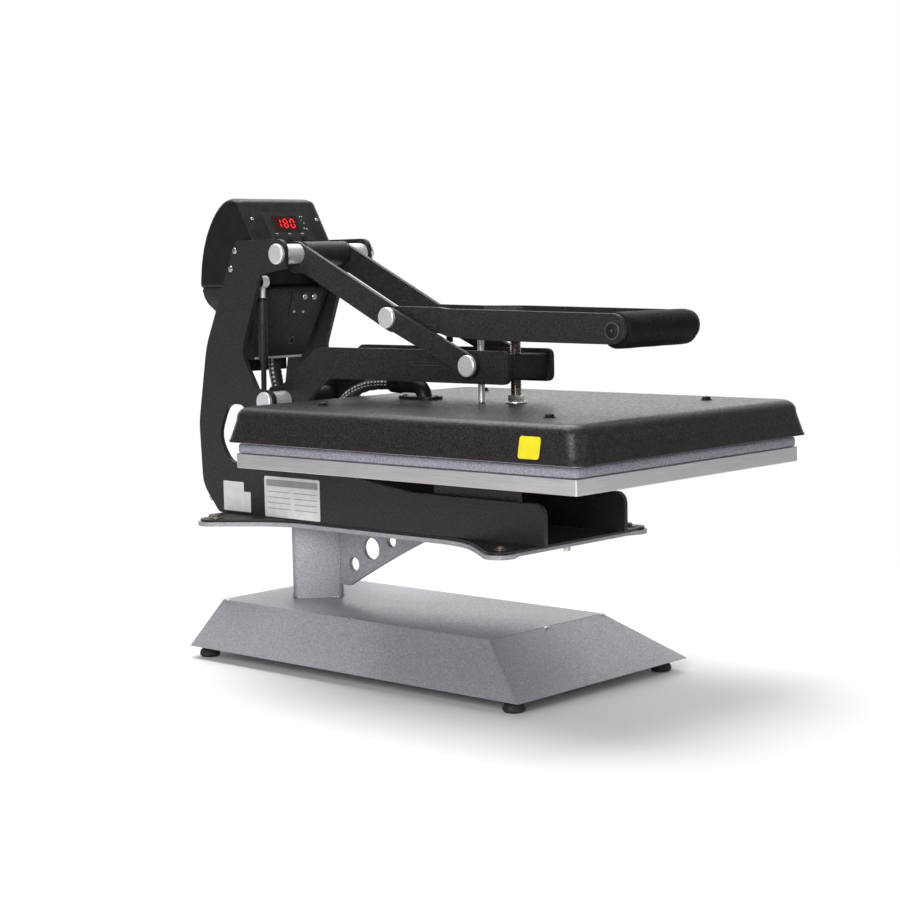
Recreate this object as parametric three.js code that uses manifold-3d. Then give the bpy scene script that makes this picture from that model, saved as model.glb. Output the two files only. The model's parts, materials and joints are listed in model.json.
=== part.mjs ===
// Clamshell heat press on a pedestal stand: a 16 x 20 inch heated platen on an over-centre toggle arm.
// Millimetres, +Z up, operator at -Y. Pieces are laid out on the press's own datum and then moved so
// that the origin lies on the floor under the middle of the machine: on the datum, x = 0 is the
// machine's centre plane, y = 0 the lower platen's front edge and z = 0 its top face.
import * as THREE from 'three';
import { mergeVertices } from 'three/addons/utils/BufferGeometryUtils.js';
import Module from 'manifold-3d';

const wasm = await Module();
wasm.setup();

// ---- driving dimensions ---------------------------------------------------------------------
const GAP = 0.3;                       // clearance kept between pieces that touch
const PLATEN = { width: 406.4, depth: 508, thick: 17.4 };
const PAD_THICK = 11;
const HUB = { y: 254, radius: 63.5, thick: 13, stud: 8 };
const HEATER = { bottom: 11.4, top: 30 };
const COVER = { overhang: 10, bottom: 13.2, shoulder: 42, top: 54, wall: 2.5, taper: 14 };
const SPINDLE_Y = 250;
const GUIDE = { y: 303, radius: 4, top: 128 };
const UPPER_PIVOT = { y: 565.1, z: 230.8 };
const LOWER_PIVOT = { y: 594.6, z: 48.1 };
const KNEE = { y: 406.4, z: 152.8 };
const ARM_PIN = { y: 280.3, z: 98.4 };
const FRAME = { inner: 69.5, outer: 75.5, bottom: -96.5, front: 148, channelTop: -49.5, rearTop: -37 };
const ARM = { inner: 35.5, outer: 41.5, bottom: 77.7, top: 115.8, front: 226.5, bend: 522 };
const LINK = { inner: 42.2, outer: 48.2, half: 12.5 };
const HANDLE = {
  inner: 63, outer: 69, joggleRear: 329, joggleFront: 291, gripY: 57, gripZ: 142, gripR: 19.8 };
const PIN = { shaft: 9.4, head: 12.7, headThick: 5, bore: 9.7 };
const BASE_PLATE = { top: -96.8, bottom: -99.8, inset: 3, front: 158 };
const TOP_PLATE = { top: -100.1, bottom: -105.1, halfWidth: 78, front: 165, rear: 686 };
const MOUNT_BOLT = { x: 116, frontY: 177, rearY: 648 };
const EAR = { x: 120, frontY: 175, rearY: 651, radius: 17 };
const STAND = { top: -202.1, bottom: -254.2, wall: 2.5, floor: -269 };
const STAND_TOP = { halfX: 103, front: 206, rear: 656 };
const STAND_FOOT = { halfX: 156, front: 121, rear: 661 };
const FOOT = { x: 134, frontY: 146, rearY: 646 };
const POST = { y: 586.5, side: 63.5, wall: 4, corner: 6 };
const ELBOW = { y: 394, bend: 15.5, end: 437, radius: 9.5, flangeHalf: [17, 29], flangeThick: 3 };
const SPINDLE = {
  radius: 6.5, bottom: 36.5, top: 146, collar: 9.4, flange: 11.5,
  knobBottom: 130, knobTop: 152, knobRadius: 28 };
const SPRING = { x: -56, top: { y: 616, z: 197 }, bottom: { y: 618.7, z: 52.35 }, radius: 5.8, rodEnd: 72 };
const PANEL = { y: 612.5, z: 241, topY: 645, topZ: 297.5, seamY: 662, halfWidth: 66 };
const DISPLAY_PLACE = { x: -2, up: 33, width: 42, height: 22 };
const BUTTONS = { places: [-24, -2, 20], up: 11, radius: 4.5 };
const BOX = { rear: 690, lip: 98, bottom: 81.5, inletX: -18, switchX: 20, switchTilt: -6 };
const CABLE = {
  radius: 7,
  route: [
    [8.5, 668, 144], [8.5, 668, 112], [8.5, 667, 80], [8, 655, 43], [6, 628, 14], [4, 600, 5],
    [2, 572, 12], [0.5, 548, 32], [0, 523, 54], [0, 494, 66], [0, 468, 69.6], [0, 445, 69.8]] };
const MID_Y = 358.7;                    // middle of the machine's depth on the datum

// ---- materials ------------------------------------------------------------------------------
const paint = (color, roughness, metalness) => (
  new THREE.MeshStandardMaterial({ color, roughness, metalness }));
const BLACK = paint(0x1c1a1d, 0.62, 0.25);
const COVER_BLACK = paint(0x211e1d, 0.45, 0.2);
const PLASTIC = paint(0x1b1a19, 0.5, 0.0);
const RUBBER = paint(0x101010, 0.85, 0.0);
const SILVER = paint(0x9a99a0, 0.5, 0.5);
const ALUMINIUM = paint(0xc9c8cc, 0.35, 0.9);
const CHROME = paint(0xe2e2e6, 0.12, 1.0);
const BRASS = paint(0xb79a63, 0.35, 0.9);
const SILICONE = paint(0x6f6c6e, 0.8, 0.0);
const DISPLAY = paint(0x2a0506, 0.2, 0.0);

// ---- solids ---------------------------------------------------------------------------------
function solid(geometry) {
  const bare = geometry.index ? geometry.clone() : geometry;
  for (const name of Object.keys(bare.attributes)) {
    if (name !== 'position') bare.deleteAttribute(name);
  }
  const merged = mergeVertices(bare, 1e-4);
  const vertProperties = new Float32Array(merged.attributes.position.array);
  const triVerts = new Uint32Array(merged.index.array);
  return new wasm.Manifold(new wasm.Mesh({ numProp: 3, vertProperties, triVerts }));
}

function geometryOf(manifold) {
  const mesh = manifold.getMesh();
  const geometry = new THREE.BufferGeometry();
  const positions = new Float32Array(mesh.numVert * 3);
  for (let i = 0; i < mesh.numVert; i += 1) {
    for (let k = 0; k < 3; k += 1) positions[3 * i + k] = mesh.vertProperties[mesh.numProp * i + k];
  }
  geometry.setAttribute('position', new THREE.BufferAttribute(positions, 3));
  geometry.setIndex(new THREE.BufferAttribute(new Uint32Array(mesh.triVerts), 1));
  geometry.computeVertexNormals();
  return geometry;
}

function box(x0, x1, y0, y1, z0, z1) {
  const geometry = new THREE.BoxGeometry(x1 - x0, y1 - y0, z1 - z0);
  geometry.translate((x0 + x1) / 2, (y0 + y1) / 2, (z0 + z1) / 2);
  return solid(geometry);
}

// A lathe profile of [radius, height] pairs, from axis to axis, standing on +Z.
function turned(profile, segments = 20) {
  const points = profile.map(([radius, height]) => new THREE.Vector2(radius, height));
  const geometry = new THREE.LatheGeometry(points, segments);
  geometry.rotateX(Math.PI / 2);
  return geometry;
}

function turnedZ(x, y, profile, segments) {
  const geometry = turned(profile, segments);
  geometry.translate(x, y, 0);
  return solid(geometry);
}

// The profile's heights run along +X.
function turnedX(y, z, profile, segments) {
  const geometry = turned(profile, segments);
  geometry.rotateY(Math.PI / 2);
  geometry.translate(0, y, z);
  return solid(geometry);
}

function rodX(y, z, radius, x0, x1, segments = 16) {
  return turnedX(y, z, [[0, x0], [radius, x0], [radius, x1], [0, x1]], segments);
}

function rodZ(x, y, radius, z0, z1, segments = 16) {
  return turnedZ(x, y, [[0, z0], [radius, z0], [radius, z1], [0, z1]], segments);
}

function tubeX(y, z, outer, inner, x0, x1, segments = 20) {
  return rodX(y, z, outer, x0, x1, segments).subtract(rodX(y, z, inner, x0 - 1, x1 + 1, segments));
}

// A flat outline [u, v, radius] with each corner rounded to its radius.
function outline(corners, arcSteps = 5) {
  const shape = new THREE.Shape();
  const count = corners.length;
  const at = (i) => new THREE.Vector2(corners[(i + count) % count][0], corners[(i + count) % count][1]);
  const points = [];
  for (let i = 0; i < count; i += 1) {
    const corner = at(i);
    const before = at(i - 1).sub(corner);
    const after = at(i + 1).sub(corner);
    const radius = corners[i][2] ?? 0;
    const cosine = before.dot(after) / before.length() / after.length();
    const half = Math.acos(THREE.MathUtils.clamp(cosine, -1, 1)) / 2;
    if (radius === 0 || Math.abs(half - Math.PI / 2) < 0.01) {
      points.push(corner);
      continue;
    }
    const reach = radius / Math.tan(half);
    const start = corner.clone().add(before.setLength(reach));
    const end = corner.clone().add(after.setLength(reach));
    const bisector = before.clone().normalize().add(after.clone().normalize());
    const centre = corner.clone().add(bisector.setLength(radius / Math.sin(half)));
    const from = start.clone().sub(centre).angle();
    let turn = end.clone().sub(centre).angle() - from;
    if (turn > Math.PI) turn -= 2 * Math.PI;
    if (turn < -Math.PI) turn += 2 * Math.PI;
    for (let k = 0; k <= arcSteps; k += 1) {
      const angle = from + (turn * k) / arcSteps;
      const spoke = new THREE.Vector2(radius * Math.cos(angle), radius * Math.sin(angle));
      points.push(centre.clone().add(spoke));
    }
  }
  shape.setFromPoints(points);
  return shape;
}

function extruded(corners, depth, arcSteps) {
  return new THREE.ExtrudeGeometry(outline(corners, arcSteps), { depth, bevelEnabled: false });
}

// Turns an outline's plane to Y and Z and its depth to X.
const ACROSS = new THREE.Matrix4().makeBasis(
  new THREE.Vector3(0, 1, 0), new THREE.Vector3(0, 0, 1), new THREE.Vector3(1, 0, 0));

// A [y, z] outline extruded across the machine from x0 to x1.
function plateX(corners, x0, x1, arcSteps) {
  const geometry = extruded(corners, x1 - x0, arcSteps);
  geometry.applyMatrix4(ACROSS);
  geometry.translate(x0, 0, 0);
  return solid(geometry);
}

// An [x, y] outline extruded upwards from z0 to z1.
function plateZ(corners, z0, z1, arcSteps) {
  const geometry = extruded(corners, z1 - z0, arcSteps);
  geometry.translate(0, 0, z0);
  return solid(geometry);
}

const rectangle = (halfX, y0, y1, radius = 0) => [
  [-halfX, y0, radius], [halfX, y0, radius], [halfX, y1, radius], [-halfX, y1, radius]];

// A loft through horizontal rounded rectangles, given as {halfX, y0, y1, radius, z}.
function rectangularLoft(levels, arcSteps = 4) {
  const rings = levels.map((level) => {
    const shape = outline(rectangle(level.halfX, level.y0, level.y1, level.radius), arcSteps);
    return shape.getPoints().map((point) => [point.x, point.y, level.z]);
  });
  const size = rings[0].length;
  const positions = rings.flat(2);
  const index = [];
  for (let level = 0; level + 1 < rings.length; level += 1) {
    for (let i = 0; i < size; i += 1) {
      const a = level * size + i;
      const b = level * size + ((i + 1) % size);
      index.push(a, b, b + size, a, b + size, a + size);
    }
  }
  const last = (rings.length - 1) * size;
  for (let i = 1; i + 1 < size; i += 1) {
    index.push(0, i + 1, i, last, last + i, last + i + 1);
  }
  const geometry = new THREE.BufferGeometry();
  geometry.setAttribute('position', new THREE.Float32BufferAttribute(positions, 3));
  geometry.setIndex(index);
  return solid(geometry);
}

// A round or polygonal section swept along hand-set points.
function sweep(points, radius, sides, steps) {
  const curve = new THREE.CatmullRomCurve3(points.map((point) => new THREE.Vector3(...point)));
  const section = new THREE.Shape();
  for (let i = 0; i < sides; i += 1) {
    const angle = (2 * Math.PI * i) / sides;
    const method = i === 0 ? 'moveTo' : 'lineTo';
    section[method](radius * Math.cos(angle), radius * Math.sin(angle));
  }
  section.closePath();
  return solid(new THREE.ExtrudeGeometry(section, { steps, extrudePath: curve, bevelEnabled: false }));
}

// ---- the assembly ---------------------------------------------------------------------------
const press = new THREE.Group();
const machine = new THREE.Group();
machine.position.set(0, -MID_Y, -STAND.floor);
press.add(machine);

function piece(name, manifold, material, parent = machine) {
  const mesh = new THREE.Mesh(geometryOf(manifold), material);
  mesh.name = name;
  parent.add(mesh);
}

const SIDES = [['left', -1], ['right', 1]];
const across = (side, near, far) => (side < 0 ? [-far, -near] : [near, far]);

// ---- stand ----------------------------------------------------------------------------------
function standBase() {
  const level = (rect, z, inset) => ({
    halfX: rect.halfX - inset, y0: rect.front + inset, y1: rect.rear - inset, radius: 4, z });
  const outer = rectangularLoft([level(STAND_FOOT, STAND.bottom, 0), level(STAND_TOP, STAND.top, 0)], 2);
  const inner = rectangularLoft([
    level(STAND_FOOT, STAND.bottom - STAND.wall, 0.2), level(STAND_TOP, STAND.top - STAND.wall, 0.2)], 2);
  return outer.subtract(inner);
}

function standPost() {
  const reach = POST.side / Math.SQRT2;
  const diamond = (half, corner) => [
    [0, POST.y - half, corner], [half, POST.y, corner], [0, POST.y + half, corner], [-half, POST.y, corner]];
  const bottom = STAND.top + GAP;
  const top = TOP_PLATE.bottom - GAP;
  const outer = plateZ(diamond(reach, POST.corner), bottom, top, 4);
  const bore = plateZ(diamond(reach - POST.wall * Math.SQRT2, POST.corner - 3), bottom - 1, top + 1, 3);
  return outer.subtract(bore);
}

function standGusset() {
  const front = POST.y - POST.side / Math.SQRT2 + POST.corner * (Math.SQRT2 - 1) - GAP;
  const top = TOP_PLATE.bottom - GAP;
  const tip = { y: 366, z: top };
  const heel = { y: 527, z: -186 };
  const edge = [];
  for (let i = 0; i <= 6; i += 1) {
    const t = i / 6;
    const sag = 12 * t * (1 - t);
    edge.push([heel.y + (tip.y - heel.y) * t, heel.z + (tip.z - heel.z) * t + sag]);
  }
  const plate = plateX([[front, top], ...edge.reverse(), [front, heel.z]], -3, 3);
  const hole = (y, z, radius) => rodX(y, z, radius, -4, 4, 24);
  return plate
    .subtract(hole(488, -136, 14))
    .subtract(hole(452.8, -123.4, 7.8))
    .subtract(hole(518.5, -158, 8.8));
}

// A plate whose straight sides sweep out into four rounded ears, held back by an inset all round.
function earedPlate(inset, front, z0, z1) {
  const side = TOP_PLATE.halfWidth - inset;
  const round = EAR.radius - inset;
  const tip = EAR.x + round;
  const half = [
    [98, front, 12],
    [EAR.x - 6, EAR.frontY - round, 8],
    [tip, EAR.frontY - round, round - 1],
    [tip, EAR.frontY + 7, round - 2],
    [side, EAR.frontY + 87, 120],
    [side, EAR.rearY - 87, 120],
    [tip, EAR.rearY - 7, round - 2],
    [tip, EAR.rearY + round, round - 1],
    [EAR.x - 6, EAR.rearY + round, 8],
    [98, TOP_PLATE.rear - inset, 12]];
  const mirrored = half.map(([x, y, radius]) => [-x, y, radius]).reverse();
  return plateZ([...half, ...mirrored], z0, z1, 4);
}

function boreBolts(plate, radius, z0, z1) {
  let bored = plate;
  for (const x of [-MOUNT_BOLT.x, MOUNT_BOLT.x]) {
    for (const y of [MOUNT_BOLT.frontY, MOUNT_BOLT.rearY]) {
      bored = bored.subtract(rodZ(x, y, radius, z0, z1, 16));
    }
  }
  return bored;
}

function mountBolt(x, y) {
  const shank = 4;
  const bottom = TOP_PLATE.bottom - 7;
  return turnedZ(x, y, [
    [0, bottom], [7, bottom], [7, TOP_PLATE.bottom - GAP], [shank, TOP_PLATE.bottom - GAP],
    [shank, BASE_PLATE.top + GAP], [7.5, BASE_PLATE.top + GAP], [7.5, BASE_PLATE.top + 2],
    [6, BASE_PLATE.top + 2.2], [6, BASE_PLATE.top + 7], [4.5, BASE_PLATE.top + 8.2],
    [0, BASE_PLATE.top + 8.2]], 12);
}

function standFoot(x, y) {
  return turnedZ(x, y, [
    [0, STAND.floor], [10.5, STAND.floor], [13, STAND.floor + 3], [12.2, STAND.floor + 7],
    [8.5, STAND.floor + 12], [8.5, STAND.bottom + 3], [0, STAND.bottom + 3]], 20);
}

piece('stand_base_shell', standBase(), SILVER);
piece('stand_post', standPost(), SILVER);
piece('stand_gusset', standGusset(), SILVER);
const boltHole = 4.3;
piece('stand_top_plate', boreBolts(
  earedPlate(0, TOP_PLATE.front, TOP_PLATE.bottom, TOP_PLATE.top),
  boltHole, TOP_PLATE.bottom - 1, TOP_PLATE.top + 1), SILVER);
piece('frame_base_plate', boreBolts(
  earedPlate(BASE_PLATE.inset, BASE_PLATE.front, BASE_PLATE.bottom, BASE_PLATE.top),
  boltHole, BASE_PLATE.bottom - 1, BASE_PLATE.top + 1), BLACK);
for (const [side, sign] of SIDES) {
  piece(`mount_bolt_front_${side}`, mountBolt(sign * MOUNT_BOLT.x, MOUNT_BOLT.frontY), CHROME);
  piece(`mount_bolt_rear_${side}`, mountBolt(sign * MOUNT_BOLT.x, MOUNT_BOLT.rearY), CHROME);
  piece(`stand_foot_front_${side}`, standFoot(sign * FOOT.x, FOOT.frontY), RUBBER);
  piece(`stand_foot_rear_${side}`, standFoot(sign * FOOT.x, FOOT.rearY), RUBBER);
}

// ---- frame ----------------------------------------------------------------------------------
function frameSide(side) {
  const [x0, x1] = across(side, FRAME.inner, FRAME.outer);
  const plate = plateX([
    [FRAME.front, FRAME.bottom, 2],
    [688, FRAME.bottom, 10],
    [718, -62, 40],
    [722, 18, 90],
    [704, 116, 120],
    [643, 248.5, 4],
    [552.6, 249, 13],
    [552.6, 213, 7],
    [600, 206.5, 5],
    [637.5, 108, 22],
    [610, 63, 4],
    [580.5, 62.3, 13],
    [580.5, 34, 13],
    [628, 34, 8],
    [640, 43, 12],
    [666, 44, 20],
    [686, 0, 30],
    [664, -30, 20],
    [649, -31, 1],
    [648, FRAME.rearTop, 1],
    [455, FRAME.rearTop, 60],
    [350, FRAME.channelTop, 60],
    [FRAME.front, FRAME.channelTop, 13]], x0, x1, 4);
  return plate
    .subtract(rodX(UPPER_PIVOT.y, UPPER_PIVOT.z, PIN.bore, x0 - 1, x1 + 1))
    .subtract(rodX(LOWER_PIVOT.y, LOWER_PIVOT.z, PIN.bore, x0 - 1, x1 + 1));
}

// A shaft through both plates of a pair, with a chamfered head at each end.
function pivotPin(axis, reach) {
  const inner = reach + GAP;
  const outer = inner + PIN.headThick;
  return turnedX(axis.y, axis.z, [
    [0, -outer], [PIN.head - 1.2, -outer], [PIN.head, -outer + 1.2], [PIN.head, -inner], [PIN.shaft, -inner],
    [PIN.shaft, inner], [PIN.head, inner], [PIN.head, outer - 1.2], [PIN.head - 1.2, outer], [0, outer]], 20);
}

function pivotSleeve(axis, side) {
  const [x0, x1] = across(side, ARM.outer + 0.5, FRAME.inner - GAP);
  return tubeX(axis.y, axis.z, 12.2, PIN.bore, x0, x1, 24);
}

// A spacer tube on a pivot pin, between the two inner plates.
function innerTube(axis) {
  const reach = ARM.inner - GAP;
  return tubeX(axis.y, axis.z, 15, PIN.bore, -reach, reach, 24);
}

// A saddle between the side plates that carries the platen's hub.
function platenMount() {
  const halfWidth = FRAME.inner - GAP;
  const top = -PLATEN.thick - HUB.thick - 2 * GAP;
  const saddle = box(-halfWidth, halfWidth, 190, 318, -60, top);
  return saddle
    .subtract(box(-halfWidth + 6, halfWidth - 6, 180, 330, -70, top - 6))
    .subtract(rodZ(0, HUB.y, HUB.stud + GAP, -80, 0, 20));
}

function platenHub() {
  const top = -PLATEN.thick - GAP;
  const bottom = top - HUB.thick;
  const notch = box(-70, -HUB.radius + 7.5, HUB.y - 5, HUB.y + 5, bottom - 1, bottom + 6);
  return rodZ(0, HUB.y, HUB.radius, bottom, top, 48)
    .subtract(notch)
    .add(rodZ(0, HUB.y, HUB.stud, -72, top - 5, 20));
}

// The left plate carries the gas spring's upper stud.
const upperStud = rodX(SPRING.top.y, SPRING.top.z, 4, -FRAME.inner - 1, SPRING.x + 7, 16);
piece('frame_side_left', frameSide(-1).add(upperStud), BLACK);
piece('frame_side_right', frameSide(1), BLACK);
piece('platen_mount', platenMount(), BLACK);
piece('platen_hub', platenHub(), ALUMINIUM);
piece('upper_pivot_pin', pivotPin(UPPER_PIVOT, FRAME.outer), CHROME);
piece('lower_pivot_pin', pivotPin(LOWER_PIVOT, FRAME.outer), CHROME);
for (const [side, sign] of SIDES) {
  piece(`upper_pivot_sleeve_${side}`, pivotSleeve(UPPER_PIVOT, sign), CHROME);
  piece(`lower_pivot_sleeve_${side}`, pivotSleeve(LOWER_PIVOT, sign), CHROME);
}

// ---- platens --------------------------------------------------------------------------------
function slab(z0, z1, inset, radius) {
  return plateZ(rectangle(PLATEN.width / 2 - inset, inset, PLATEN.depth - inset, radius), z0, z1, 4);
}

function heatPlaten() {
  const rib = (y) => box(-150, 150, y - 5, y + 5, HEATER.top - 1, 44);
  return slab(HEATER.bottom, HEATER.top, 1, 6)
    .add(rib(130))
    .add(rib(450))
    .add(rodZ(0, SPINDLE_Y, 28, HEATER.top - 1, 46, 28))
    .subtract(rodZ(0, SPINDLE_Y, 10, 36, 60, 20))
    .subtract(rodZ(0, GUIDE.y, GUIDE.radius + 0.4, HEATER.top - 4, 60, 16));
}

function platenCover() {
  const lip = COVER.overhang;
  const level = (z, grow, radius) => ({
    halfX: PLATEN.width / 2 + grow, y0: -grow, y1: PLATEN.depth + grow, radius, z });
  const rim = lip - COVER.taper;
  const outer = rectangularLoft([
    level(COVER.bottom, lip, 16),
    level(COVER.shoulder, lip - 6, 20),
    level(COVER.shoulder + 6, lip - 8.5, 20),
    level(COVER.shoulder + 10, rim + 0.5, 18),
    level(COVER.top, rim - 5, 14)], 4);
  const inner = rectangularLoft([
    level(COVER.bottom - 1, lip - COVER.wall, 14), level(COVER.shoulder, lip - 6 - COVER.wall, 18),
    level(COVER.top - COVER.wall, rim - 4 - COVER.wall, 12)], 4);
  return outer
    .subtract(inner)
    .subtract(rodZ(0, SPINDLE_Y, 8.4, 45, 60, 20))
    .subtract(rodZ(0, GUIDE.y, GUIDE.radius + 0.4, 45, 60, 16))
    .subtract(rodZ(0, ELBOW.y, ELBOW.radius + 1, 45, 60, 20));
}

// A hollow strain-relief elbow with an oval flange, open towards the rear where the cable enters.
function cableElbow() {
  const base = COVER.top + GAP;
  const bend = [];
  for (let i = 0; i <= 5; i += 1) {
    const angle = (Math.PI / 2) * (i / 5);
    bend.push([0, ELBOW.y + ELBOW.bend * (1 - Math.cos(angle)), base + ELBOW.bend * Math.sin(angle)]);
  }
  const run = [[0, ELBOW.y, base - 6], ...bend, [0, ELBOW.end, base + ELBOW.bend]];
  const [halfX, halfY] = ELBOW.flangeHalf;
  const middle = ELBOW.y + 7;
  const footprint = rectangle(halfX, middle - halfY, middle + halfY, 15);
  const flange = plateZ(footprint, base, base + ELBOW.flangeThick, 4);
  const past = [[0, ELBOW.y, base - 9], ...bend, [0, ELBOW.end + 3, base + ELBOW.bend]];
  return sweep(run, ELBOW.radius, 12, 9).add(flange).subtract(sweep(past, CABLE.radius + 0.8, 10, 10));
}

piece('lower_platen', slab(-PLATEN.thick, -GAP, 0, 2), ALUMINIUM);
piece('silicone_pad', slab(0, PAD_THICK, 1, 4), SILICONE);
piece('heat_platen', heatPlaten(), ALUMINIUM);
piece('platen_cover', platenCover(), COVER_BLACK);
piece('cable_elbow', cableElbow(), PLASTIC);

// ---- arm and pressure screw -----------------------------------------------------------------
function armSide(side) {
  const [x0, x1] = across(side, ARM.inner, ARM.outer);
  const plate = plateX([
    [ARM.front, ARM.bottom, 8],
    [ARM.bend, ARM.bottom, 14],
    [572, 32, 10],
    [606, 28, 14],
    [627, 34, 12],
    [627, 65, 10],
    [602, 66, 10],
    [536, ARM.top, 14],
    [ARM.front, ARM.top, 8]], x0, x1, 4);
  return plate
    .subtract(rodX(LOWER_PIVOT.y, LOWER_PIVOT.z, PIN.bore, x0 - 1, x1 + 1))
    .subtract(rodX(ARM_PIN.y, ARM_PIN.z, PIN.bore, x0 - 1, x1 + 1));
}

function armFrontBlock() {
  const halfWidth = ARM.inner - GAP;
  return plateX([[232, 82, 3], [268, 82, 3], [268, 110.5, 3], [232, 110.5, 3]], -halfWidth, halfWidth, 3)
    .subtract(rodZ(0, SPINDLE_Y, SPINDLE.radius + 0.4, 70, 120, 24));
}

// The guide plate behind the block keeps the heated platen square to the arm.
function armGuidePlate() {
  const halfWidth = ARM.inner - GAP;
  const guideHole = rodZ(0, GUIDE.y, GUIDE.radius + 0.6, 90, 110, 16);
  return box(-halfWidth, halfWidth, 292, 378, 97, 101).subtract(guideHole);
}

// The flange on the cover and the collar under it hold the screw to the heated head.
function pressureSpindle() {
  const { radius, bottom, top, collar, flange } = SPINDLE;
  const flangeTop = COVER.top + 5;
  return turnedZ(0, SPINDLE_Y, [
    [0, bottom], [collar, bottom], [collar, bottom + 5], [radius, bottom + 7.5],
    [radius, COVER.top + 1], [flange, COVER.top + 1], [flange, flangeTop], [radius, flangeTop],
    [radius, top], [0, top]], 24);
}

function pressureKnob() {
  const { knobBottom, knobTop, knobRadius } = SPINDLE;
  let knob = turnedZ(0, SPINDLE_Y, [
    [0, knobBottom], [12, knobBottom], [16, knobBottom + 3], [knobRadius - 1.5, knobBottom + 4],
    [knobRadius, knobTop - 2], [knobRadius - 2, knobTop], [0, knobTop]], 30);
  for (let i = 0; i < 10; i += 1) {
    const angle = (2 * Math.PI * i) / 10;
    const reach = knobRadius + 1.5;
    knob = knob.subtract(rodZ(reach * Math.cos(angle), SPINDLE_Y + reach * Math.sin(angle), 4,
      knobBottom - 1, knobTop + 1, 8));
  }
  return knob.subtract(rodZ(0, SPINDLE_Y, SPINDLE.radius + 0.2, knobBottom - 1, SPINDLE.top + 0.3, 24));
}

// The left arm plate carries the gas spring's lower stud behind the pivot.
const lowerStud = rodX(SPRING.bottom.y, SPRING.bottom.z, 4, SPRING.x - 7, -ARM.outer + 1, 16);
piece('arm_side_left', armSide(-1).add(lowerStud), BLACK);
piece('arm_side_right', armSide(1), BLACK);
piece('arm_front_block', armFrontBlock(), BLACK);
piece('arm_guide_plate', armGuidePlate(), BLACK);
piece('arm_tube', innerTube(LOWER_PIVOT), BLACK);
piece('link_pin', pivotPin(ARM_PIN, LINK.outer), CHROME);
piece('pressure_spindle', pressureSpindle(), BRASS);
piece('pressure_knob', pressureKnob(), PLASTIC);
piece('guide_rod', rodZ(0, GUIDE.y, GUIDE.radius, HEATER.top - 3.6, GUIDE.top, 16), CHROME);

// ---- toggle lever and handle ----------------------------------------------------------------
function leverSide(side) {
  const profile = plateX([
    [590, 247, 15],
    [566, 246, 8],
    [403, 166.5, 10],
    [HANDLE.gripY - 16.4, 160, 16],
    [HANDLE.gripY - 16.4, 127.2, 16],
    [230, 129, 60],
    [330, 135, 30],
    [410, 135.5, 20],
    [555.5, 206.4, 12],
    [590, 208, 18]], -80, 80, 5);
  const plan = plateZ([
    [ARM.inner, 600],
    [ARM.inner, HANDLE.joggleRear, 6],
    [HANDLE.inner, HANDLE.joggleFront, 10],
    [HANDLE.inner, 30],
    [HANDLE.outer, 30],
    [HANDLE.outer, HANDLE.joggleFront + 2, 4],
    [ARM.outer, HANDLE.joggleRear + 2, 12],
    [ARM.outer, 600]].map(([x, y, radius]) => [side * x, y, radius]), 100, 260, 4);
  return profile.intersect(plan)
    .subtract(rodX(UPPER_PIVOT.y, UPPER_PIVOT.z, PIN.bore, -90, 90))
    .subtract(rodX(KNEE.y, KNEE.z, PIN.bore, -90, 90))
    .subtract(rodX(HANDLE.gripY, HANDLE.gripZ, 6.4, -90, 90));
}

function toggleLink(side) {
  const [x0, x1] = across(side, LINK.inner, LINK.outer);
  const along = new THREE.Vector2(ARM_PIN.y - KNEE.y, ARM_PIN.z - KNEE.z).setLength(LINK.half);
  const normal = new THREE.Vector2(-along.y, along.x);
  const corner = (centre, s, n) => [
    centre.y + s * along.x + n * normal.x, centre.z + s * along.y + n * normal.y, LINK.half - 0.2];
  const corners = [corner(KNEE, -1, -1), corner(ARM_PIN, 1, -1), corner(ARM_PIN, 1, 1), corner(KNEE, -1, 1)];
  return plateX(corners, x0, x1, 8)
    .subtract(rodX(KNEE.y, KNEE.z, PIN.bore, x0 - 1, x1 + 1))
    .subtract(rodX(ARM_PIN.y, ARM_PIN.z, PIN.bore, x0 - 1, x1 + 1));
}

// The knee's outer bolt turns with the link; the cross shaft behind it belongs to the lever.
function kneeBolt(side) {
  const shank = LINK.inner - 0.2;
  const inner = LINK.outer + GAP;
  const outer = inner + PIN.headThick;
  const profile = [
    [0, shank], [PIN.shaft, shank], [PIN.shaft, inner], [PIN.head, inner], [PIN.head, outer - 1.2],
    [PIN.head - 1.2, outer], [0, outer]];
  const heights = side > 0 ? profile : profile.map(([radius, x]) => [radius, -x]).reverse();
  return turnedX(KNEE.y, KNEE.z, heights, 20);
}

function leverWeb() {
  const halfWidth = ARM.inner - GAP;
  return box(-halfWidth, halfWidth, 337, 366, 141, 145).add(rodZ(0, 352, 4, 123, 142, 16));
}

function handleRod() {
  const inner = HANDLE.outer + GAP;
  return turnedX(HANDLE.gripY, HANDLE.gripZ, [
    [0, -inner - 2.2], [5, -inner - 2.2], [8.2, -inner], [6, -inner],
    [6, inner], [8.2, inner], [5, inner + 2.2], [0, inner + 2.2]], 20);
}

for (const [side, sign] of SIDES) piece(`lever_side_${side}`, leverSide(sign), BLACK);
for (const [side, sign] of SIDES) piece(`toggle_link_${side}`, toggleLink(sign), BLACK);
for (const [side, sign] of SIDES) piece(`knee_bolt_${side}`, kneeBolt(sign), CHROME);
piece('knee_shaft', rodX(KNEE.y, KNEE.z, PIN.shaft, -ARM.outer, ARM.outer, 24), CHROME);
piece('lever_tube', innerTube(UPPER_PIVOT), BLACK);
piece('lever_web', leverWeb(), BLACK);
piece('handle_rod', handleRod(), BLACK);
piece('handle_grip', tubeX(HANDLE.gripY, HANDLE.gripZ, HANDLE.gripR, 6.3, -HANDLE.inner + GAP,
  HANDLE.inner - GAP, 32), RUBBER);

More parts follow.
